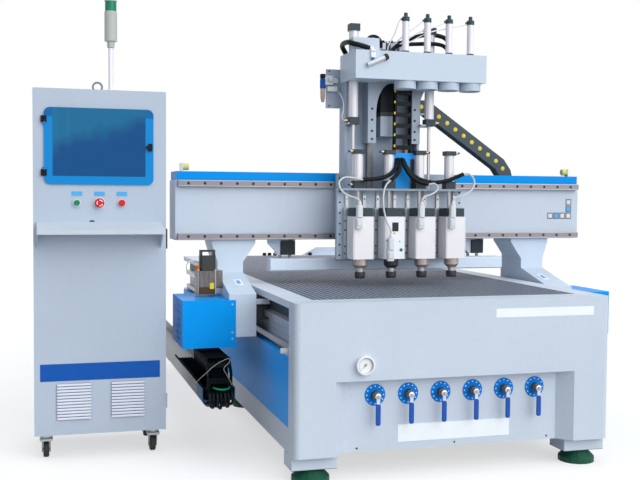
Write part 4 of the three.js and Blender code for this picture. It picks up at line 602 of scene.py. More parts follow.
RED = Finish("plastic_red", "red_plastic", Look((0.66, 0.015, 0.025), 0.3, shine=0.2), Grain.MOULDED)
ORANGE = Finish("plastic_orange", "red_plastic", Look((0.80, 0.22, 0.02), 0.35, shine=0.2), Grain.MOULDED)
GAUGE_DIAL = Finish("dial_printed", "gauge_case", Look((0.84, 0.86, 0.88), 0.4), Grain.CLEAR, extra=dial_marks)
LEVER = Finish("lever", "blue_paint", Look((0.66, 0.66, 0.69), 0.26, 0.5), Grain.MILLED, (
    Zone(Look((0.008, 0.085, 0.42), 0.4), z=(None, 328.5)),))
# The board's extra colour is a painted sheen, paler towards the rear.
TABLE = Finish("board_grooved", "table_board", Look((0.085, 0.095, 0.125), 0.58, shine=0.3), Grain.BOARD, (
    Zone(PAINT, z=(None, GRID_LOW)), Zone(EDGE, x=(GRID_SIDE, None), mirror=True),
    Zone(EDGE, y=(None, GRID_FRONT)), Zone(PAINT, y=(GRID_REAR, None))), extra=table_sheen, soil=0.22)


def screws(spots: Sequence[Point], radius: float, rise: float, sides: int = 10) -> Form:
    """Cap screws that face the front, with a recess in the head: a small profile turned at each spot."""
    profile = ((radius, 0), (radius, rise * 0.8), (radius * 0.86, rise), (radius * 0.55, rise),
               (radius * 0.5, rise * 0.45))
    return Form.joined(*(lathe([(r, y - p) for r, p in profile], "y", (x, z), sides) for x, y, z in spots))


@dataclass
class Studio:
    """Camera, light, floor and backdrop: angles in degrees, and the floor's reach in metres."""

    place: Point = (-1745.2, -3840.1, 1208.4)
    yaw: float = 16.18
    drop: float = 2.62
    roll: float = 0.43
    lens: float = 54.9
    sky: Tone = (0.33, 0.355, 0.37)
    floor_lighting: Tone = (0.48,) * 3
    floor_seen: Tone = (0.97,) * 3
    glow: float = 1.1
    glow_share: float = 0.55
    reach: float = 30.0

    def camera(self) -> None:
        """The camera at the photograph's place: its axes from yaw, drop and roll."""
        yaw, drop, roll = (math.radians(a) for a in (self.yaw, self.drop, self.roll))
        ahead = Vector((math.sin(yaw) * math.cos(drop), math.cos(yaw) * math.cos(drop), -math.sin(drop)))
        right = Vector((math.cos(yaw), -math.sin(yaw), 0))
        up = right.cross(ahead)
        right, up = right * math.cos(roll) + up * math.sin(roll), up * math.cos(roll) - right * math.sin(roll)
        data = bpy.data.cameras.new("camera")
        data.lens, data.sensor_width, data.clip_end = self.lens, 36, 60
        made = placed("camera", data)
        axes = Matrix((right, up, -ahead)).transposed().to_4x4()
        made.matrix_world = Matrix.Translation(Vector(metres(self.place))) @ axes
        bpy.context.scene.camera = made
        bpy.context.scene.view_settings.view_transform = "Standard"

    def sun(self, name: str, source: Point, strength: float, spread: float) -> None:
        """A far lamp that shines from a direction, with a wide disc for soft shadows."""
        data = bpy.data.lights.new(name, "SUN")
        data.energy, data.angle = strength, math.radians(spread)
        placed(name, data).matrix_world = Vector(source).to_track_quat("Z", "Y").to_matrix().to_4x4()

    @staticmethod
    def by_ray(tree: bpy.types.NodeTree, owner: str, lighting: Callable[[Graph], Value],
               seen: Callable[[Graph], Value]) -> None:
        """Fills a tree with a shader for the rays that light things, and another for camera, glossy and
        transmitted rays.

        Args:
            tree: the nodes to fill.
            owner: World or Material, as in the output's type.
            lighting: makes the shader that lights.
            seen: makes the shader that is seen or mirrored.
        """
        tree.nodes.clear()
        graph = Graph(tree)
        factor = graph.node("ShaderNodeLightPath", output="Is Camera Ray")
        path = factor.socket.node.outputs
        for name in ("Is Glossy Ray", "Is Transmission Ray"):
            factor = factor.most(Value(graph, path[name]))
        graph.feed(tree.nodes.new(f"ShaderNodeOutput{owner}").inputs["Surface"],
                   graph.mixed_shaders(factor, lighting(graph), seen(graph)))

    def world(self) -> None:
        """A plain sky: dim where it lights things, and white where it is seen or mirrored."""
        def sky(tone: Tone) -> Callable[[Graph], Value]:
            """Makes a background of a colour."""
            return lambda graph: graph.node("ShaderNodeBackground", sockets={"Color": tone})

        world = bpy.data.worlds.new("world")
        bpy.context.scene.world = world
        world.use_nodes = True
        self.by_ray(world.node_tree, "World", sky(self.sky), sky((1, 1, 1)))

    def floor(self) -> None:
        """A large pale floor whose white is seen, and whose reflected light is dimmer."""
        def matt(graph: Graph, tone: Tone) -> Value:
            """A dull surface of a colour."""
            return graph.node("ShaderNodeBsdfDiffuse", sockets={"Color": tone})

        mesh = bpy.data.meshes.new("floor")
        corners = ((-1, -1), (1, -1), (1, 1), (-1, 1))
        mesh.from_pydata([(x * self.reach, y * self.reach, 0) for x, y in corners], [], [(0, 1, 2, 3)])
        material = bpy.data.materials.new("floor")
        material.use_nodes = True
        self.by_ray(material.node_tree, "Material", lambda graph: matt(graph, self.floor_lighting),
                    lambda graph: graph.mixed_shaders(
                        self.glow_share, matt(graph, self.floor_seen),
                        graph.node("ShaderNodeEmission", sockets={"Strength": self.glow})))
        mesh.materials.append(material)
        placed("floor", mesh)

    def build(self) -> None:
        """Everything in the studio."""
        self.camera()
        self.world()
        self.sun("key_light", (0.45, -0.75, 0.48), 1.75, 60)
        self.sun("fill_light", (0.22, -1, 0), 1.05, 90)
        self.sun("top_light", (0, 0, 1), 0.95, 70)
        self.floor()


@dataclass
class Cable:
    """A free cable or hose: the points it runs through, how thick it is and where it ends.

    Where other is set, the cable rides on no body.
    """

    name: str
    points: Sequence[Point]
    thick: float
    finish: Finish
    body: str
    end: str = "object"
    stiffness: str = "medium"
    other: str | None = None
    turn: Pair = (0.0, 0.0)
    sides: int = 12

    def build(self, with_pieces: Sequence[bpy.types.Object] = ()) -> bpy.types.Object:
        """The cable as a mesh tube.

        Args:
            with_pieces: the plug and other pieces on it; not used.
        Returns:
            The object.
        """
        line = resampled(spline(self.points), max(self.thick * 0.6, 4))
        made = piece(self.name, tube(line, self.thick / 2, self.sides), self.finish,
                     None if self.other else self.body)
        if self.other:
            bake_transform(made)
        return made


@dataclass
class HeadCables:
    """The four spindle leads: white cables from the hanger to the spindles' plugs, the first part of
    each in a spiral wrap."""

    lead: float = 9.0
    wrap: float = 21.0
    plug_width: float = 30.0
    plug_front: float = 585.0
    plug_back: float = 594.9
    places: tuple = ((-268, 1050, 1178), (-107, 893, 1020), (49, 1050, 1178), (213, 1050, 1178))
    wraps: tuple = (
        ((-41, 690, 1390), (-43, 672, 1374), (-52, 662, 1350), (-79, 657, 1320), (-120, 651, 1299),
         (-173, 646, 1289), (-231, 640, 1286)),
        ((-33, 690, 1390), (-33, 668, 1374), (-38, 650, 1350), (-50, 640, 1322), (-73, 636, 1298),
         (-90, 634, 1284)),
        ((-16, 690, 1390), (-18, 662, 1374), (-8, 646, 1341), (14, 636, 1307), (53, 632, 1280),
         (103, 630, 1267)),
        ((-8, 690, 1390), (-6, 676, 1374), (6, 666, 1346), (35, 662, 1312), (81, 658, 1288),
         (144, 652, 1276), (211, 648, 1285), (258, 644, 1303), (296, 640, 1319)))
    leads: tuple = (
        ((-289, 633, 1295), (-332, 622, 1294), (-359, 610, 1276), (-362, 598, 1250), (-346, 588, 1223),
         (-318, 581, 1206), (-290, 577, 1198), (-270, 575, 1186)),
        ((-112, 630, 1266), (-130, 616, 1237), (-141, 600, 1193), (-141, 587, 1140), (-130, 578, 1087),
         (-114, 575, 1052), (-107, 575, 1028)),
        ((135, 626, 1270), (150, 616, 1251), (133, 602, 1230), (96, 590, 1214), (62, 580, 1204),
         (49, 575, 1186)),
        ((322, 633, 1320), (341, 622, 1300), (342, 610, 1270), (322, 598, 1240), (282, 587, 1218),
         (242, 580, 1206), (220, 577, 1198), (213, 575, 1186)))

    def plug(self, name: str, x: float, low: float, high: float, body: str) -> bpy.types.Object:
        """A heavy plug on a spindle's face: a rounded shell over a wider foot, with a gland on top."""
        half, front, back, tall = self.plug_width / 2, self.plug_front, self.plug_back, high - low
        return piece(name, (
            slab((x - half, front - 20, low + tall * 0.42), (x + half, back, high - 14), 3, 8, "z", 3),
            slab((x - half * 1.08, front - 12, low), (x + half * 1.08, back, low + tall * 0.5), 2.5, 3, "y"),
            slab((x - half * 0.8, front - 17, low + tall * 0.1), (x + half * 0.8, front - 8, low + tall * 0.36),
                 2, 2, "y"),
            lathe([(8, high - 15), (9, high - 12), (9, high - 6), (7, high - 2), (5.2, high + 6)], "z",
                  (x, 575), 16)), PLUG, body)

    def build(self) -> None:
        """Plugs, leads and wraps."""
        for k, (wrap, lead, (x, low, high)) in enumerate(zip(self.wraps, self.leads, self.places), 1):
            plug = self.plug(f"spindle_plug_{k}", x, low, high, f"spindle_unit_{k}")
            line = resampled(spline(wrap), 4)[1:]
            sleeve = piece(f"cable_wrap_{k}", tube(line, self.wrap / 2 - 1, 16, 1.4, 9), WRAP, "head")
            Cable(f"spindle_lead_{k}", (*wrap, *lead), self.lead, LEAD, "head", "plug",
                  other=f"spindle_unit_{k}", turn=(1262, high + 14)).build((plug, sleeve))


@dataclass
class Bed:
    """The bed: its grooved table, valves, gauge, bare plates and the cables at its tray."""

    half_width: float = 735.0
    front: float = 100.3
    rear: float = 3150.0
    top: float = 765.0
    underside: float = 735.0
    grid_half: float = 628.0
    grid_front: float = 125.3
    grid_back: float = 3090.0
    pitch: float = 25.6
    groove: float = 6.5
    depth: float = 4.5
    levers: tuple[float, ...] = (-364.5, -213.5, -62.5, 88.5, 239.5, 390.5)
    lever_height: float = 360.0
    wall: float = 694.4

    def lines(self, low: float, high: float) -> np.ndarray:
        """Cell borders of equal squares with a groove between each two: pairs of borders."""
        count = round((high - low - self.groove) / self.pitch)
        starts = low + (high - low - self.groove) * np.arange(count + 1) / count
        return np.stack([starts, starts + self.groove], -1).ravel()

    def table(self) -> None:
        """The board as a terrace of cells, with every cell of a groove lower than the squares, and the
        stop plate at its rear."""
        x = np.r_[-self.half_width, self.lines(-self.grid_half, self.grid_half), self.half_width]
        y = np.r_[self.front, self.lines(self.grid_front, self.grid_back), self.rear]
        tops = np.full((len(x) - 1, len(y) - 1), self.top)
        tops[1:-1:2, 1:-1] = tops[1:-1, 1:-1:2] = self.top - self.depth
        shape = np.array([(142, 765.05), (252, 822), (735, 822), (735, 765.05)])
        stop = loft(np.stack([along("y", *shape.T, np.array(place)) for place in (3144, 3150)]))
        piece("grooved_table", (terrace(x, y, tops, self.underside), stop), TABLE, "bed", ("vacuum_table",))

    def valves(self) -> None:
        """Rosettes with a ring of pale marks on the recess wall, and levers with nuts on their hubs."""
        z = self.lever_height
        piece("valve_rosettes", [washer(20.5, outer, low, 59.9, "y", (x, z), sides, edge) for x in self.levers
                                 for outer, low, sides, edge in ((47, 57.4, 40, 1.2), (27, 55.2, 32, 0.8))],
              ROSETTE, "bed")
        marks = [(x + 38 * math.cos(angle), 57.4, z + 38 * math.sin(angle)) for x in self.levers
                 for angle in np.arange(12) * math.pi / 6]
        piece("rosette_marks", screws(marks, 2.5, 0.8), BARE_PLATE, "bed")
        for k, x in enumerate(self.levers, 1):
            piece(f"lever_{k}", (
                lathe([(10.5, 23.6), (13, 22), (13, 15), (10.5, 13.5)], "y", (x, z)),
                slab((x - 7.5, 13.2, 322), (x + 7.5, 16.8, 356), 0.8, 2, "y"),
                slab((x - 11, 10.9, 236.2), (x + 11, 20, 328), 3, 9, "y", 4)),
                LEVER, f"valve_{k}", (f"valve_lever_{k}",))
            piece(f"valve_nut_{k}", (lathe([(8.5, 14.6), (8.5, 8), (7.2, 6.6)], "y", (x, z), 6),
                                     lathe([(4, 7), (4, 4.2), (3.2, 3.4)], "y", (x, z), 14)), BRIGHT, f"valve_{k}")

    def plates(self) -> None:
        """Bare plates where labels are, on the front face and on the recess wall, with screws below."""
        piece("front_plate", slab((169, -1.2, 683), (649, -0.02, 722), 0.4, 3, "y"), BARE_PLATE, "bed")
        piece("recess_plate", (slab((-259, 58.6, 150), (269, 59.9, 226), 0.4, 2, "y"),
                               slab((-259, 58, 150), (269, 58.7, 152.4), 0.3, 0.5, "y"),
                               slab((-259, 58, 223.6), (269, 58.7, 226), 0.3, 0.5, "y")), BARE_PLATE, "bed")
        piece("recess_screws", screws([(x, 59.9, 134) for x in (-444, 6, 455)], 4, 2.4, 12), BLACKENED, "bed")

    def gauge(self) -> None:
        """The gauge's printed dial and bright rim."""
        piece("gauge_dial", lathe([(32.5, -16.02), (32.5, -16.2)], "y", GAUGE, 48), GAUGE_DIAL, "bed")
        piece("gauge_rim", washer(33, 41, -27.4, -20, "y", GAUGE, 48, 2.4),
              Finish("gauge_bright", "gauge_case", Look((0.78, 0.80, 0.84), 0.22, 0.4), Grain.MILLED), "bed")

    def tray_cables(self) -> None:
        """Black cables in loops over the tray's front end, with a green lead and a grey wire over them."""
        for k, (x, out, drop) in enumerate(((-1018, 10, 0), (-1001, 0, -14), (-985, 14, -6), (-968, 4, -18),
                                            (-951, 16, -4), (-934, 2, -12), (-917, 10, 2)), 1):
            Cable(f"tray_cable_{k}", (
                (x, 520, 316), (x + 2, 478, 331), (x + 5, 440 - out, 326), (x + 7, 426 - out, 298),
                (x + 6, 434 - out, 276 + drop), (x + 2, 468, 264 + drop / 2), (x - 2, 530, 266), (x, 592, 272)),
                14, WRAP, "bed", sides=10).build()
        Cable("tray_lead_green", (
            (-1006, 540, 330), (-1010, 480, 350), (-1004, 440, 353), (-985, 420, 346), (-957, 412, 342),
            (-930, 418, 345), (-911, 438, 353), (-905, 480, 350), (-905, 530, 332)), 9, GREEN, "bed").build()
        grey = Finish("wire_grey", "bright_steel", Look((0.30, 0.31, 0.31), 0.4), Grain.MOULDED)
        Cable("tray_wire_1", (
            (-1034, 560, 335), (-1062, 500, 352), (-1067, 410, 389), (-1034, 394, 423), (-994, 392, 457),
            (-938, 392, 484), (-930, 394, 468), (-955, 394, 440), (-941, 394, 410), (-925, 396, 380),
            (-912, 420, 352), (-905, 470, 335)), 3, grey, "bed", sides=8).build()

    def sides(self) -> None:
        """The rails' seats and the racks' backs with their bolts, and the pads at the table's rear."""
        seats = [slab((690.2, 142, low), (self.wall, 3060, high), 0.6, 0.8, "x").both()
                 for low, high in ((588, 630), (518, 543.5), (570.5, 583))]
        # The seats' paint is a darker copy of the machine paint: painted shade under the rails.
        piece("rail_seats", seats, Finish("seat_paint", "machine_paint", Look((0.46, 0.52, 0.61), 0.42)), "bed")
        bolt = [(4.5, self.wall - 0.4), (4.5, self.wall + 0.5), (3.5, self.wall + 0.6)]
        piece("rail_seat_bolts", [
            lathe(bolt, "x", (y, z), 8).both() for z, pitch in ((594, 45), (655, 60), (530, 120))
            for y in np.arange(170, 3050, pitch)], BLACKENED, "bed")
        piece("table_pads", [lathe([(13, 764.8), (14, 768), (14, 781), (11, 785), (5, 785)], "z", (x, 3120), 16)
                             for x in (-148, -110, -69, 198)], MOULDED, "bed")

    def dress(self) -> None:
        """Finishes for the bed's CAD nodes."""
        Finish("bed_frame", "machine_paint", PAINT, zones=(
            Zone(Look((0.010, 0.085, 0.05), 0.55), z=(None, 62)),
            # Outer face of the side beams under the table: dark green-black paint, darkened further as painted shade.
            Zone(Look((0.03, 0.05, 0.055), 0.5), x=(684, 692), z=(672, 735), y=(139, None), mirror=True),
            Zone(STEEL, x=(689, 719), z=(640, 670.5), mirror=True),
            Zone(Look((0.40, 0.41, 0.46), 0.35, 0.4), x=(690.1, 726), z=(544, 570), y=(140, None), mirror=True),
            Zone(CREAM, x=(690.5, 770), y=(None, 138), z=(540.5, 566), mirror=True))).on_nodes("bed_frame")
        MACHINE.on_nodes("front_panel")
        SIDE_PAINT.on_nodes("side_panel_left", "side_panel_right")
        Finish("pipes", "tray_steel", Look((0.42, 0.44, 0.48), 0.45), Grain.MOULDED, (
            Zone(Look((0.17, 0.145, 0.135), 0.3, 0.5), y=(None, 57)),)).on_nodes("vacuum_manifold")
        Finish("gauge_case", "gauge_case", Look((0.74, 0.76, 0.80), 0.24, 0.3), Grain.MILLED).on_nodes(
            "vacuum_gauge")
        Finish("needle", "dark_steel", Look((0.26, 0.26, 0.28), 0.4), Grain.MILLED).on_nodes("gauge_needle")
        Finish("tray", "tray_steel", Look((0.30, 0.31, 0.34), 0.45, 0.35), Grain.ZINC, (
            Zone(Look((0.012, 0.085, 0.20), 0.4), x=(-1043.5, -892.5), y=(None, 600)),)).on_nodes("cable_tray")

    def build(self) -> None:
        """All of the bed's pieces."""
        self.table()
        self.valves()
        self.plates()
        self.gauge()
        self.tray_cables()
        self.sides()
        self.dress()


@dataclass
class Gantry:
    """The gantry: rail screws, label tiles, pump fittings and finishes."""

    rail_face: float = 880.7
    hole_pitch: float = 80.0
    slope: float = math.atan2(79, 309)

    def rails(self) -> None:
        """Screw holes along both rails, as dark caps one each 80 mm, and the rails' bright edges."""
        face = self.rail_face
        for name, z in (("upper", 1263), ("lower", 1004)):
            piece(f"rail_holes_{name}", [lathe([(7.2, face + 0.3), (7.2, face - 0.25)], "y", (x, z), 14)
                                         for x in np.arange(-1040, 1041, self.hole_pitch)], BLACKENED, "gantry")
            piece(f"rail_lips_{name}", [slab((-1090, face - 0.6, z + low), (1090, face, z + low + 2.8), 0.3, 0.4, "y")
                                        for low in (-14.6, 11.8)], BRIGHT, "gantry")

    def labels(self) -> None:
        """Small bare tiles on the beam and on the columns' slopes."""
        tiles = [(916 + 37 * k, 1089.5) for k in range(4)] + [(1027, 1126.5), (1027, 1163.5)]
        piece("beam_tiles", [slab((x, 907.9, z), (x + 35, 908.95, z + 35), 0.3, 3, "y") for x, z in tiles],
              Finish("tile_mauve", "dark_steel", Look((0.19, 0.19, 0.25), 0.4), Grain.GLOSS), "gantry")
        hearts = [slab((x + 6, 907.2, z + 6), (x + 29, 908, z + 29), 0.3, 4, "y") for x, z in tiles]
        for name, finish, picked in (("pale", PLUG, (0, 2, 3, 5)), ("blue", STRIP, (1, 4))):
            piece(f"beam_tiles_{name}", [hearts[k] for k in picked], finish, "gantry")
        rise = 747 + (757 - 600) * math.tan(self.slope) - 775.3
        for side, x in (("left", -818), ("right", 812)):
            for kind, half, y, z, edge, corner, finish in (
                    ("label", 20, (715, 800), (775.9, 777.2), 0.4, 3, BARE_PLATE),
                    ("mark", 9, (735, 780), (777.1, 777.9), 0.3, 2, STRIP)):
                tile = slab((x - half, y[0], z[0]), (x + half, y[1], z[1]), edge, corner)
                piece(f"column_{kind}_{side}", tile.turned(self.slope, "x", (x, 757, 776.6)).moved(0, 0, rise),
                      finish, "gantry")

    def pump(self) -> None:
        """The lubricator's tie rods, filler neck, hose and gauge glass."""
        neck = (-1002, 800)
        piece("pump_rods", [lathe([(3.2, 733), (3.2, 845), (5, 845), (5, 851), (4, 852)], "z", (x, y), 10)
                            for x in (-1012.5, -929.5) for y in (756.5, 843.5)], BRIGHT_UPRIGHT, "gantry")
        piece("pump_cap", (washer(9, 17, 859, 868, "z", neck, 20, 2),
                           lathe([(15.5, 858.9), (15.5, 864), (10, 866)], "z", neck, 20)), ORANGE, "gantry")
        piece("pump_tag", slab((-957, 750.6, 759), (-937, 751.9, 788), 0.4, 2, "y"), YELLOW, "gantry")
        piece("pump_oil", slab((-1013, 757, 737), (-929, 843, 768), 2, 8, "z"),
              Finish("oil", "oil_tank", Look((0.09, 0.04, 0.012), 0.2), Grain.CLEAR), "gantry")
        piece("pump_riser", (lathe([(6, 745), (6, 843)], "z", (-968, 800), 14),
                             lathe([(14, 741), (14, 752), (10, 756)], "z", (-968, 800), 18),
                             lathe([(4, 745), (4, 843)], "z", (-992, 790), 12)), PLUG, "gantry")
        Cable("pump_hose", ((-1000, 812, 880), (-1022, 808, 892), (-1052, 802, 884), (-1062, 796, 858),
                            (-1046, 792, 838), (-1016, 792, 822)), 6, LEAD, "gantry", stiffness="stiff",
              sides=10).build()

    @staticmethod
    def louver(low: float) -> Form:
        """A pressed hood over a motor cover's slot on each side: full in the middle and flat at both ends."""
        bulge = np.array([(-0.4, 0.8), (3.4, 0.6), (4.6, 3), (4, 7), (-0.4, 12)])
        flat = np.array([(-0.4, 0.8), (0, 0.8), (0.1, 3), (0.1, 7), (-0.4, 12)])
        return loft(np.stack([along("y", 1108 + section[:, 0], low + section[:, 1], np.array(y)) for section, y in (
            (flat, 690.5), (bulge, 697), (bulge, 837), (flat, 843.5))])).both()

    def covers(self) -> None:
        """Louvers and screws on the motor covers, the columns' arms and the pusher's guides."""
        piece("cover_louvers", [self.louver(525 + 31.33 * k) for k in range(6)], BLUE_PAINT, "gantry")
        piece("cover_screws", screws([(877.5, 595.6, z) for z in (541, 570, 700)], 4.5, 2.6, 12).both(), BRIGHT,
              "gantry")
        piece("column_arms", slab((700, 600, 698), (768, 616, 722), 1, 2).both(), MACHINE, "gantry")
        piece("pusher_guides", slab((492, 955, 906), (561, 974, 978), 2, 4, "y").both(), BLACKENED, "gantry")

    def dress(self) -> None:
        """Finishes for the gantry's CAD nodes."""
        Finish("beam", "machine_paint", PAINT, zones=(
            Zone(Look((0.025, 0.035, 0.04), 0.45), x=(478, 556.5), y=(969, 1060), z=(902, 972),
                 mirror=True),)).on_nodes("gantry_beam")
        Finish("column", "machine_paint", Look((0.60, 0.70, 0.825), 0.42), zones=(
            Zone(Look((0.03, 0.035, 0.04), 0.5), x=(None, 763), z=(620, 690), mirror=True),)).on_nodes(
                "column_left", "column_right")
        RAIL.on_nodes("x_rail_upper", "x_rail_lower")
        Finish("cover_top", "blue_paint", BLUE, Grain.GLOSS, (
            Zone(Look((0.66, 0.64, 0.24), 0.5), z=(1322, None), x=(None, 1058.2), mirror=True),
            Zone(STEEL, z=(1322, None), x=(1058.2, None), mirror=True))).on_nodes("beam_cover")
        BLUE_PAINT.on_nodes("motor_cover_left", "motor_cover_right")
        Finish("pump", "oil_tank", Look((0.16, 0.125, 0.10), 0.25, shine=0.4), Grain.CLEAR, (
            Zone(Look((0.020, 0.024, 0.022), 0.45), z=(845, None)),
            Zone(Look((0.80, 0.24, 0.02), 0.4), x=(-1018, -1000), z=(845, 860))),
               clear=Zone(DARK, z=(None, 844.5)), alpha=0.72, extra=oil_level).on_nodes("lube_pump")
        # The pusher's paint is a lighter copy of the machine paint: painted light lifting the beam's shadow on its
        # front.
        Finish("pusher", "machine_paint", Look((0.68, 0.78, 0.91), 0.42), zones=(
            Zone(STEEL, z=(891.5, None)),)).on_nodes("pusher_bar")

    def build(self) -> None:
        """All of the gantry's pieces."""
        self.rails()
        self.labels()
        self.pump()
        self.covers()
        self.dress()


@dataclass
class Chains:
    """The drag chains: hinge discs, snap dots, cables and finishes."""

    pitch: float = 60.0
    tray: Pair = (-1022.0, -914.0)

    def stations(self, u: float, v: float, angle: float, turns: Sequence[float]) -> np.ndarray:
        """Each link's middle and angle: the angles are summed turns, and places are summed half steps."""
        angles = angle + np.cumsum(turns)
        steps = self.pitch * np.stack([np.cos(angles), np.sin(angles)], -1)
        return np.column_stack([np.array([u, v]) + np.cumsum(steps, 0) - steps / 2, angles])

    def discs(self, stations: np.ndarray) -> list[Form]:
        """Hinge discs on both faces of the floor chain, at each joint between two links."""
        joints = stations[:, :2] + self.pitch / 2 * np.stack([np.cos(stations[:, 2]), np.sin(stations[:, 2])], -1)
        profile = ((9, -1), (9, 0.8), (9 * 0.82, 1.6), (9 * 0.3, 1.6), (9 * 0.25, 0.6))
        return [lathe([(radius, face + way * out) for radius, out in profile], "x", joint, 18)
                for joint in joints[:-1] for face, way in zip(self.tray, (-1, 1))]

    def build(self) -> None:
        """Details on the three chains, and the cables in the floor chain."""
        fall = 0.597
        beam = self.stations(120, 1694.3, 0, [0] * 3 + [-fall] + [0] * 8 + [(fall - math.pi) / 7] * 7 + [0] * 6)
        piece("beam_chain_dots", [lathe([(12, 1146), (12, 1143.4), (10.5, 1142.6)], "y", (u, v), 18)
                                  for u, v, _ in beam], YELLOW, "carriage")
        floor = self.stations(1490, 310.3, math.pi, [0] * 17 + [-math.pi / 4] * 4 + [0] * 5)
        piece("floor_chain_hinges", self.discs(floor), WRAP, "bed")
        piece("floor_chain_cables", [
            tube(resampled(spline(np.column_stack([np.full(len(floor), x), floor[:, :2]])), 20), 8.5, 10)
            for x in range(-1000, -935, 16)], SHADED, "bed")
        piece("head_chain_tabs", [slab((-46.5, 715.4, 1342.3 + 54 * k), (-38.5, 717.2, 1354.3 + 54 * k), 0.6, 1.5, "y")
                                  for k in range(2, 8)], YELLOW, "head")
        Finish("floor_chain", "black_plastic", Look((0.004, 0.007, 0.008), 0.7, shine=0.03), Grain.MOULDED).on_nodes(
            "y_drag_chain")
        Finish("beam_chain", "black_plastic", Look((0.055, 0.072, 0.085)), Grain.MOULDED).on_nodes("x_drag_chain")
        Finish("head_chain", "black_plastic", BLACK, Grain.MOULDED, (
            Zone(Look((0.22, 0.22, 0.25), 0.5), x=(-22, 30), y=(722, None), z=(1425, 1742)),)).on_nodes(
                "z_drag_chain")


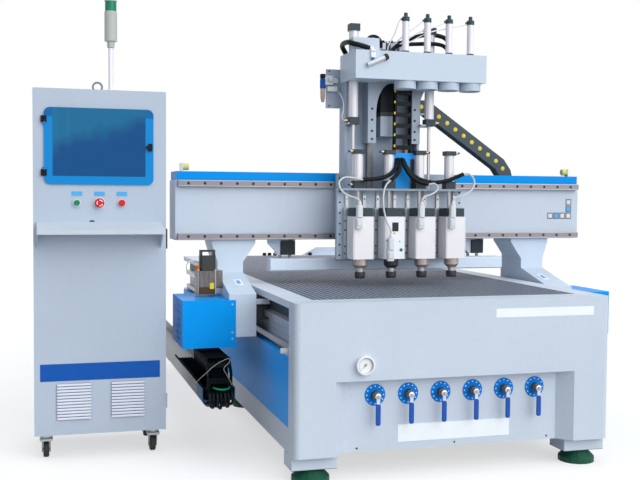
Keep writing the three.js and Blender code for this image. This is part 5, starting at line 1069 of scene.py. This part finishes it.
@dataclass
class Head:
    """The carriage and head: cylinder barrels, screws, fittings and finishes."""

    lifts: tuple[float, ...] = (-240.0, -80.0, 80.0, 240.0)
    balance: tuple[float, ...] = (-250.0, 151.0)
    ribs: int = 8

    def barrel(self, x: float, y: float, low: float, high: float, radius: float) -> Form:
        """An extruded barrel: its radius falls in a narrow groove between each two ribs."""
        angle = np.linspace(0, 2 * math.pi, self.ribs * 8, endpoint=False)
        reach = radius + 1.6 - 1.4 * np.clip(np.cos(angle * self.ribs) * 3 - 1.9, 0, 1)
        return loft(np.stack([along("z", x + reach * np.cos(angle), y + reach * np.sin(angle), np.array(z))
                              for z in (low, high)]))

    @staticmethod
    def elbow(x: float, y: float, z: float) -> tuple[Form, Form]:
        """A push-in fitting beside a cap, facing outwards: a brass thread and hexagon, then a release ring."""
        thread = ((5, 0), (5, 7), (7.5, 7), (7.5, 16), (6, 17))
        ring = ((5.6, 17), (5.6, 25), (4.2, 27))
        way = math.copysign(1, x)
        return tuple(lathe([(r, x + way * out) for r, out in profile], "x", (y, z), sides)
                     for profile, sides in ((thread, 12), (ring, 14)))

    def cylinders(self) -> None:
        """Barrels over the plain cylinders, and their fittings."""
        piece("lift_barrels", [self.barrel(x, 690, 1282.2, 1410.8, 23) for x in self.lifts], BARREL, "head")
        piece("balance_barrels", [self.barrel(x, 745, 1593.2, 2011.8, 22) for x in self.balance], BARREL, "carriage")
        threads, rings = zip(*(self.elbow(x, 684, z) for x, z in (
            (-266.2, 1424), (-266.2, 1262), (-106.2, 1424), (106.2, 1424), (266.2, 1424))))
        piece("lift_fittings", threads, BRASS, "head")
        piece("lift_fitting_rings", rings, BANNER, "head")
        piece("balance_fittings", (*self.elbow(-275.2, 742, 1576), *self.elbow(176.2, 742, 1576)), BRASS, "carriage")
        Cable("balance_tube", ((-300, 742, 1576), (-309, 743, 1592), (-300, 748, 1625), (-297, 757, 1664),
                               (-306, 772, 1700), (-306, 800, 1716), (-300, 832, 1722), (-296, 866, 1722)), 5,
              LEAD, "carriage", stiffness="stiff", sides=10).build()

    def screws(self) -> None:
        """Screws on the slides, the slide rails, the saddle and the brackets."""
        for k, x in enumerate(self.lifts, 1):
            spots = [(x + side, 708, z) for side in (-59, 59) for z in (925, 960, 1040, 1085)]
            piece(f"slide_screws_{k}", screws(spots, 4.2, 3), BLACKENED, f"spindle_unit_{k}")
        tops = [(x + side, 723, 1192) for x in self.lifts for side in (-45, 45)]
        for name, spots, radius, rise, body in (
                ("slide_rail", tops, 4, 0.15, "head"),
                ("plate", [(x, 735, z) for x in (-318, 318) for z in range(915, 1231, 52)], 4.5, 3, "head"),
                ("saddle", [(x, 840, z) for x in (-288, 322) for z in range(910, 1300, 64)], 4.5, 3, "carriage"),
                ("bracket", [(x, 757, z) for x in (-147, 79) for z in (1490, 1530, 1585, 1640)], 5.5, 3.5,
                 "carriage")):
            piece(f"{name}_screws", screws(spots, radius, rise), BLACKENED, body)

    def faces(self) -> None:
        """Seams and small marks on the spindles' front faces."""
        for k, x in enumerate(self.lifts, 1):
            piece(f"spindle_rim_{k}", [
                slab((x + left, 594.2, low), (x + right, 594.95, high), 0.3, 0.4, "y") for left, right, low, high in (
                    (-52.4, 52.4, 1104.4, 1107.4), (-52.4, 52.4, 902.6, 905.6),
                    (-52.4, -50.2, 905.4, 1104.6), (50.2, 52.4, 905.4, 1104.6))], BARREL, f"spindle_unit_{k}")
        piece("spindle_slot_2", slab((-95, 593.6, 1037), (-63, 594.95, 1080), 0.5, 2, "y"), BLACKENED,
              "spindle_unit_2")
        for name, x, z, radius, finish in (("green", -48, 947, 8, GREEN), ("yellow", -83, 1028, 6, YELLOW),
                                           ("blue", -119, 992, 6, ROSETTE), ("small", -57, 988, 3, ROSETTE)):
            button = lathe([(radius, 594.95), (radius, 593.4), (radius * 0.75, 592.6)], "y", (x, z), 16)
            piece(f"spindle_button_{name}", button, finish, "spindle_unit_2")

    def dress(self) -> None:
        """Finishes for the carriage's, head's and spindles' CAD nodes."""
        rail, rod = Look((0.20, 0.205, 0.22), 0.4, 0.3), Look((0.62, 0.61, 0.63), 0.3, 0.5)
        # The saddle's paint is a darker copy of the machine paint: painted shade on the plate behind the spindles.
        Finish("saddle", "machine_paint", Look((0.38, 0.45, 0.55), 0.42), zones=(
            *(Zone(rail, x=(x, x + 32), y=(811, 839.5), z=(887, 1501)) for x in (-152, 48)),
            *(Zone(look, x=(x - 26, x + 26), y=(719, 771), z=z)
              for look, z in ((SILVER, (1593, 2012)), (DARK, (1557, 1593.2))) for x in self.balance),
            Zone(DARK, x=(-276, 177), y=(719, 771), z=(2011.8, 2060)))).on_nodes("x_saddle")
        Finish("hood", "machine_paint", Look((0.555, 0.645, 0.76), 0.42, shine=0.3), zones=(
            Zone(SILVER, x=(-40, None), z=(1903.5, 2046)), Zone(DARK, x=(-40, None), z=(2046, None)),
            Zone(DARK, x=(-40, None), z=(1903.5, 1912)), Zone(Look((0.55, 0.56, 0.58), 0.4, 0.3), y=(None, 599.4)),
            Zone(DARK, x=(-140, None), y=(None, 599.4)))).on_nodes("dust_manifold")
        Finish("motor", "black_plastic", Look((0.012, 0.018, 0.020), 0.5, shine=0.1), Grain.MILLED, (
            Zone(Look((0.06, 0.065, 0.07), 0.5), z=(None, 1625)),)).on_nodes("z_motor")
        Finish("head_plate", "machine_paint", Look((0.52, 0.61, 0.73), 0.42), zones=(
            *(Zone(rod, x=(x - 16, x + 16), y=(728, 762), z=(1245, 1662)) for x in self.balance),
            Zone(STEEL, y=(722, 734.5), z=(895, 1210)),
            # The shelf's front edge in a darker copy of the plate's paint: painted shade.
            Zone(Look((0.30, 0.36, 0.43), 0.45), y=(654, 722), z=(1233, 1244.3)),
            Zone(DARK, y=(663, 717), z=(1244.2, 1282.1)), Zone(DARK, y=(663, 717), z=(1410.9, 1434)),
            Zone(SILVER, y=(663, 717), z=(1282.1, 1410.9)),
            Zone(BLUE, x=(-49, 53.5), y=(701, 756), z=(1244.4, 1422)))).on_nodes("z_plate")
        pale = Look((0.82, 0.80, 0.83), 0.42, 0.05), Look((0.40, 0.34, 0.32), 0.3, 0.6)
        white = Look((0.86, 0.88, 0.93), 0.42), Look((0.03, 0.034, 0.036), 0.4, 0.2)
        for k, (skin, nose) in enumerate((pale, white, pale, pale), 1):
            Finish(f"spindle_{k}", "head_aluminium", skin, Grain.MILLED, (
                Zone(DARK, y=(None, 702), z=(1108.2, 1150)), Zone(nose, y=(None, 705), z=(None, 902.2)),
                Zone(Look((0.42, 0.46, 0.52), 0.4, 0.4), y=(705, None)),
                Zone(STEEL, z=(1150.5, None))), soil=0.05).on_nodes(f"spindle_{k}")
            BRIGHT.on_nodes(f"dust_gate_{k}")
            Finish("collet", "dark_steel", Look((0.05, 0.053, 0.06), 0.35, 0.6), Grain.MILLED, (
                Zone(Look((0.42, 0.41, 0.42), 0.28, 0.8), z=(839.2, None)),)).on_nodes(f"collet_{k}")

    def build(self) -> None:
        """All of the head's pieces."""
        self.cylinders()
        self.screws()
        self.faces()
        self.dress()


@dataclass
class Hood:
    """What stands on the dust hood and behind it: hoses, valve block, filter unit and air tubes."""

    ports: tuple[float, ...] = (-13.0, 101.5, 216.0, 330.5)
    port_line: float = 657.5
    filter_place: Pair = (-374.0, 856.0)
    hoses: tuple = (
        (25, ((-270, 800, 1904), (-284, 792, 1922), (-301, 770, 1938), (-307, 735, 1947), (-306, 690, 1947),
              (-302, 655, 1943), (-292, 632, 1935), (-268, 620, 1928), (-240, 617, 1921), (-214, 614, 1913))),
        (22, ((-24, 806, 1905), (-22, 800, 1932), (-6, 778, 1960), (30, 748, 1984), (76, 738, 2001),
              (122, 738, 2012), (176, 740, 2014), (228, 744, 2004), (258, 752, 1980), (268, 760, 1944),
              (268, 764, 1904))),
        (20, ((-64, 708, 1905), (-60, 709, 1926), (-36, 712, 1948), (10, 713, 1956), (84, 712, 1962),
              (160, 712, 1966), (210, 712, 1958), (234, 712, 1934), (236, 712, 1903))),
        (16, ((-190, 712, 1960), (-182, 724, 1978), (-164, 734, 1990), (-138, 738, 1991), (-114, 743, 1974),
              (-106, 746, 1938))))

    def cables(self) -> None:
        """Black hoses over the hood, and thin white tubes from the gate cylinders to the valves."""
        for k, (thick, points) in enumerate(self.hoses, 1):
            Cable(f"hood_hose_{k}", points, thick, WRAP, "carriage", stiffness="stiff").build()
        for k, x in enumerate(self.ports, 1):
            end = -104 + 22 * k
            Cable(f"gate_tube_{k}", (
                (x - 18, self.port_line, 2068), (x - 32, 661, 2058), (x * 0.72 + end * 0.28 - 22, 672, 2022 + 4 * k),
                (x * 0.4 + end * 0.6 - 6, 684, 1994 + 5 * k), (x * 0.12 + end * 0.88, 700, 1966),
                (end, 712, 1942), (end, 723, 1924)), 6, BARE_PLATE, "carriage", sides=8).build()

    def valves(self) -> None:
        """A valve block on the plenum's side, a bank of slim valves on a base with coils on top, a hose
        fitting, and a collar on the tilted cylinder."""
        slices = [slab((-104 + 21 * k, 732, 1928), (-87 + 21 * k, 786, 1962), 1.6, 2.5) for k in range(5)]
        piece("valve_bank", (slab((-109, 722, 1903.4), (3, 796, 1928), 2, 3), *slices[1::2]), Finish(
            "valve_bank", "head_aluminium", Look((0.10, 0.11, 0.13), 0.4, 0.2), Grain.MILLED), "carriage")
        piece("valve_bank_pale", slices[::2], PLUG, "carriage")
        caps = [slab((-102 + 21 * k, 744 - 3 * k, 1961.5), (-89 + 21 * k, 774 - 3 * k, 1976 - 3 * (k % 2)), 1.6, 2.5)
                for k in range(5)]
        piece("valve_coils", caps[::2], MOULDED, "carriage")
        piece("valve_coils_pale", caps[1::2], BARREL, "carriage")
        piece("hose_fitting", (slab((-214, 588, 1866), (-190, 599.7, 1900), 2.5, 4),
                               lathe([(8, 1898), (10.5, 1901), (10.5, 1916), (8, 1920)], "z", (-204, 611), 18),
                               slab((-214, 588, 1892), (-190, 622, 1906), 2.5, 4)), BARE_PLATE, "carriage")
        piece("hose_fitting_ring", lathe([(6, 1857), (8, 1859), (8, 1866.5)], "z", (-202, 594), 16), ROSETTE,
              "carriage")
        collar = washer(12.2, 15.5, 95, 111, "x", (590, 0), 24, 1.5).turned(-math.atan2(45, 103), "y", (0, 590, 0))
        piece("tilt_collars", collar.moved(-231, 0, 1831), BLACKENED, "carriage")

    def sleeves(self) -> None:
        """Round sleeves on the hood's ports, and barrels and end caps with a side fitting over the gate
        cylinders."""
        spots = [(x, self.port_line) for x in self.ports]
        piece("port_sleeves", [washer(49, 53.8, 1729.1, 1768.4, "z", spot, 72, 1) for spot in spots],
              Finish("sleeve", "machine_paint", Look((0.50, 0.585, 0.69), 0.42)), "carriage")
        piece("gate_barrels", [lathe([(16, 1908), (16.8, 1909), (16.8, 2060), (16, 2061)], "z", spot, 32)
                               for spot in spots],
              Finish("gate_barrel", "head_aluminium", Look((0.80, 0.79, 0.86), 0.36, 0.1), Grain.GROUND,
                     lengthwise="z", soil=0.05), "carriage")
        cap = ((17, 2058), (19, 2060), (19, 2078), (16, 2081), (9.5, 2081), (9.5, 2098), (8, 2100))
        foot = ((19, 1902.8), (19, 1914), (17, 1916))
        piece("gate_caps", [lathe(profile, "z", spot) for spot in spots for profile in (cap, foot)]
              + [lathe([(5.5, x - 26), (5.5, x - 12)], "x", (y, 2068), 12) for x, y in spots],
              Finish("cap_dark", "dark_steel", Look((0.03, 0.065, 0.075), 0.4), Grain.MILLED), "carriage")

    def filter(self) -> None:
        """The air filter and regulator at the air plate's left: knob, blue band, body and clear bowl."""
        spot = self.filter_place
        piece("filter_knob", lathe([(10, 1788), (13, 1790), (13, 1792), (14.5, 1794), (14.5, 1808), (12, 1812),
                                    (6, 1813)], "z", spot, 20), MOULDED, "carriage")
        piece("filter_band", lathe([(13, 1740), (14.5, 1742), (14.5, 1786), (13, 1788)], "z", spot, 20), BANNER,
              "carriage")
        piece("filter_bowl", lathe([(5, 1672), (8, 1676), (11.5, 1692), (12.5, 1718), (12.5, 1740)], "z", spot),
              Finish("bowl_smoked", "oil_tank", Look((0.48, 0.36, 0.33), 0.2), Grain.CLEAR), "carriage")
        piece("filter_block", (slab((-372, 846, 1758), (-320, 866, 1804), 2, 3, "y"),
                               slab((-330, 850, 1768), (-296, 864.9, 1792), 1.5, 2, "y"),
                               lathe([(13, 846), (15, 843), (15, 838), (12, 836)], "y", (-336, 1788), 20),
                               slab((-352, 842, 1726), (-300, 866, 1752), 2, 3, "y")),
              Finish("filter_body", "head_aluminium", Look((0.58, 0.60, 0.64), 0.4, 0.2), Grain.MILLED), "carriage")
        rows = [(x, 865, z) for x in (-338, -250, -166) for z in (1656, 1828)]
        piece("air_plate_screws", screws(rows, 4, 2.8), BLACKENED, "carriage")

    def build(self) -> None:
        """All of the hood's pieces."""
        self.cables()
        self.valves()
        self.sleeves()
        self.filter()


@dataclass
class Cabinet:
    """The control cabinet: bare plates, window fittings, button rims, vents and the signal tower."""

    front: float = 669.95
    buttons: tuple[float, float, float] = (-1573.0, -1474.0, -1375.0)
    button_height: float = 1167.0

    def fittings(self) -> None:
        """Banner, strips, hinges, knob and slot."""
        piece("cabinet_banner", slab((-1736, 668.6, 364), (-1203, self.front, 442), 0.4, 2, "y"), BANNER, "bed")
        piece("button_strips", [slab((x - 24, 668.7, 1198), (x + 24, self.front, 1218), 0.4, 2, "y")
                                for x in self.buttons], STRIP, "bed")
        levels = (1286, 1523)
        piece("window_hinges", [slab((-1728, 657.5, z), (-1702, 663, z + 30), 1.2, 3, "y") for z in levels]
              + [lathe([(3, z + 2), (4.6, z + 3), (4.6, z + 27), (3, z + 28)], "z", (-1714, 659), 12)
                 for z in levels], MOULDED, "bed")
        piece("window_grip", slab((-1257, 648.5, 1403), (-1239, 662, 1437), 2, 4, "y"), MOULDED, "window")
        piece("cable_slot", slab((-1518, 668.4, 1082), (-1496, self.front, 1088), 0.5, 2.5, "y"), MOULDED, "bed")

    def rims(self) -> None:
        """Pale rims round the push buttons, and three pale arcs on the stop button's cap."""
        piece("button_rims", [washer(inner, inner + wall, 665, self.front, "y", (x, self.button_height), 32, 1.2)
                              for x, inner, wall in zip(self.buttons, (13.5, 21.5, 15.5), (3.7, 3.5, 3.3))],
              PLUG, "bed")
        reach, depth = np.array([11, 14.2, 14.2, 11]), np.array([640.2, 640.6, 643, 643])
        turns = [np.linspace(start, start + 1.35, 12)[:, None] for start in np.arange(3) * 2 * math.pi / 3 + 0.35]
        piece("stop_arcs", [loft(along("y", self.buttons[1] + reach * np.cos(turn),
                                       self.button_height + reach * np.sin(turn), depth)) for turn in turns],
              BARE_PLATE, "emergency_stop")

    def vents(self) -> None:
        """Pale louvered plates over the two fan openings: slim slats with dark gaps, where a dark plate behind the
        slats is painted shade.
        """
        fans = (-1588.5, -1348.5)
        piece("vent_slats", [slab((x - 74.9, 660.8, z), (x + 74.9, 665, z + 10.2), 2, 2, "y") for x in fans
                             for z in np.arange(188, 345, 13.9)],
              Finish("slats", "cabinet_paint", Look((0.74, 0.77, 0.87)), Grain.MOULDED), "bed")
        # A dark plate behind the slats: painted shade inside the openings.
        piece("vent_backs", [slab((x - 74.1, 663.2, 187.4), (x + 74.1, self.front, 351.6), 0.3, 1.5, "y")
                             for x in fans],
              Finish("vent_painted_shade", "cabinet_paint", Look((0.13, 0.15, 0.26), 0.6), Grain.MOULDED), "bed")

    def casters(self) -> None:
        """Pressed crowns over the swivel casters' wheels with their races and nuts, and the tower's collar."""
        zinc = Finish("crown", "bright_steel", Look((0.46, 0.50, 0.52), 0.35, 0.45), Grain.ZINC)
        for side, x in (("left", -1710), ("right", -1227)):
            piece(f"caster_crown_{side}", (slab((x - 29, 712, 82), (x + 29, 774, 97), 4, 8),
                                           lathe([(26, 97), (28, 100), (28, 108), (24, 111)], "z", (x, 743), 28)),
                  zinc, f"caster_{side}")
        piece("tower_collar", lathe([(13, 1894), (17, 1897), (17, 1920), (20, 1926)], "z", (-1406, 895)),
              Finish("collar", "lamp_stack", Look((0.50, 0.52, 0.50), 0.4), Grain.MOULDED), "bed")

    def dress(self) -> None:
        """Finishes for the cabinet's CAD nodes."""
        Finish("cabinet", "cabinet_paint", CABINET_PAINT, zones=(
            Zone(Look((0.16, 0.17, 0.20), 0.35, 0.4), z=(1676, None)),)).on_nodes("cabinet_body")
        CABINET.on_nodes("rear_door")
        Finish("shelf", "cabinet_paint", Look((0.56, 0.63, 0.71), 0.42)).on_nodes("keyboard_shelf")
        Finish("screen", "black_plastic", Look((0.02, 0.03, 0.05), 0.3), Grain.CLEAR).on_nodes("monitor")
        # The pane's extra colour is a painted reflection over the tinted glass.
        Finish("pane", "tinted_pane", Look((0.0, 0.24, 0.63), 0.16, shine=0.15), Grain.CLEAR, (
            Zone(Look((0.0, 0.13, 0.38), 0.14, shine=0.12), z=(1551, None)),
            Zone(Look((0.0, 0.07, 0.235), 0.12, shine=0.12), x=(-1678, -1269), z=(1286, 1591)),
            Zone(BLACK, x=(-1272, -1246), y=(None, 661.5), z=(1398, 1443))), soil=0.04,
            extra=pane_reflection).on_nodes("cabinet_window")
        Finish("tower", "lamp_stack", Look((0.55, 0.56, 0.56), 0.4), Grain.MOULDED, (
            Zone(Look((0.80, 0.79, 0.87), 0.3, 0.15), z=(None, 1912)),
            Zone(Look((0.48, 0.50, 0.47), 0.45), z=(1926, 2064)),
            Zone(Look((0.0, 0.22, 0.12), 0.2), z=(2066, 2112)),
            Zone(Look((0.85, 0.22, 0.08), 0.2), z=(2119, 2165)),
            Zone(Look((0.62, 0.03, 0.03), 0.2), z=(2172, 2218)))).on_nodes("signal_tower")
        GREEN.on_nodes("start_button")
        RED.on_nodes("emergency_stop_button", "stop_button")
        MOULDED.on_nodes("lock_lever")
        sides = ("left", "right")
        Finish("fork", "bright_steel", Look((0.24, 0.26, 0.265), 0.4, 0.45), Grain.ZINC).on_nodes(
            *(f"caster_fork_{side}" for side in sides))
        Finish("tread", "wheel_tread", Look((0.035, 0.036, 0.04), 0.7), Grain.RUBBER).on_nodes(
            *(f"caster_wheel_{end}_{side}" for end in ("front", "rear") for side in sides))

    def build(self) -> None:
        """All of the cabinet's pieces."""
        self.fittings()
        self.rims()
        self.vents()
        self.casters()
        self.dress()


def main() -> None:
    """Builds the studio and the sub-assemblies in order."""
    logging.basicConfig(level=logging.INFO, format="%(name)s: %(message)s")
    for part in (Studio(), HeadCables(), Bed(), Gantry(), Chains(), Head(), Hood(), Cabinet()):
        before = len(bpy.data.objects)
        part.build()
        log.info("%s: %d objects", type(part).__name__, len(bpy.data.objects) - before)


if __name__ == "__main__":
    main()
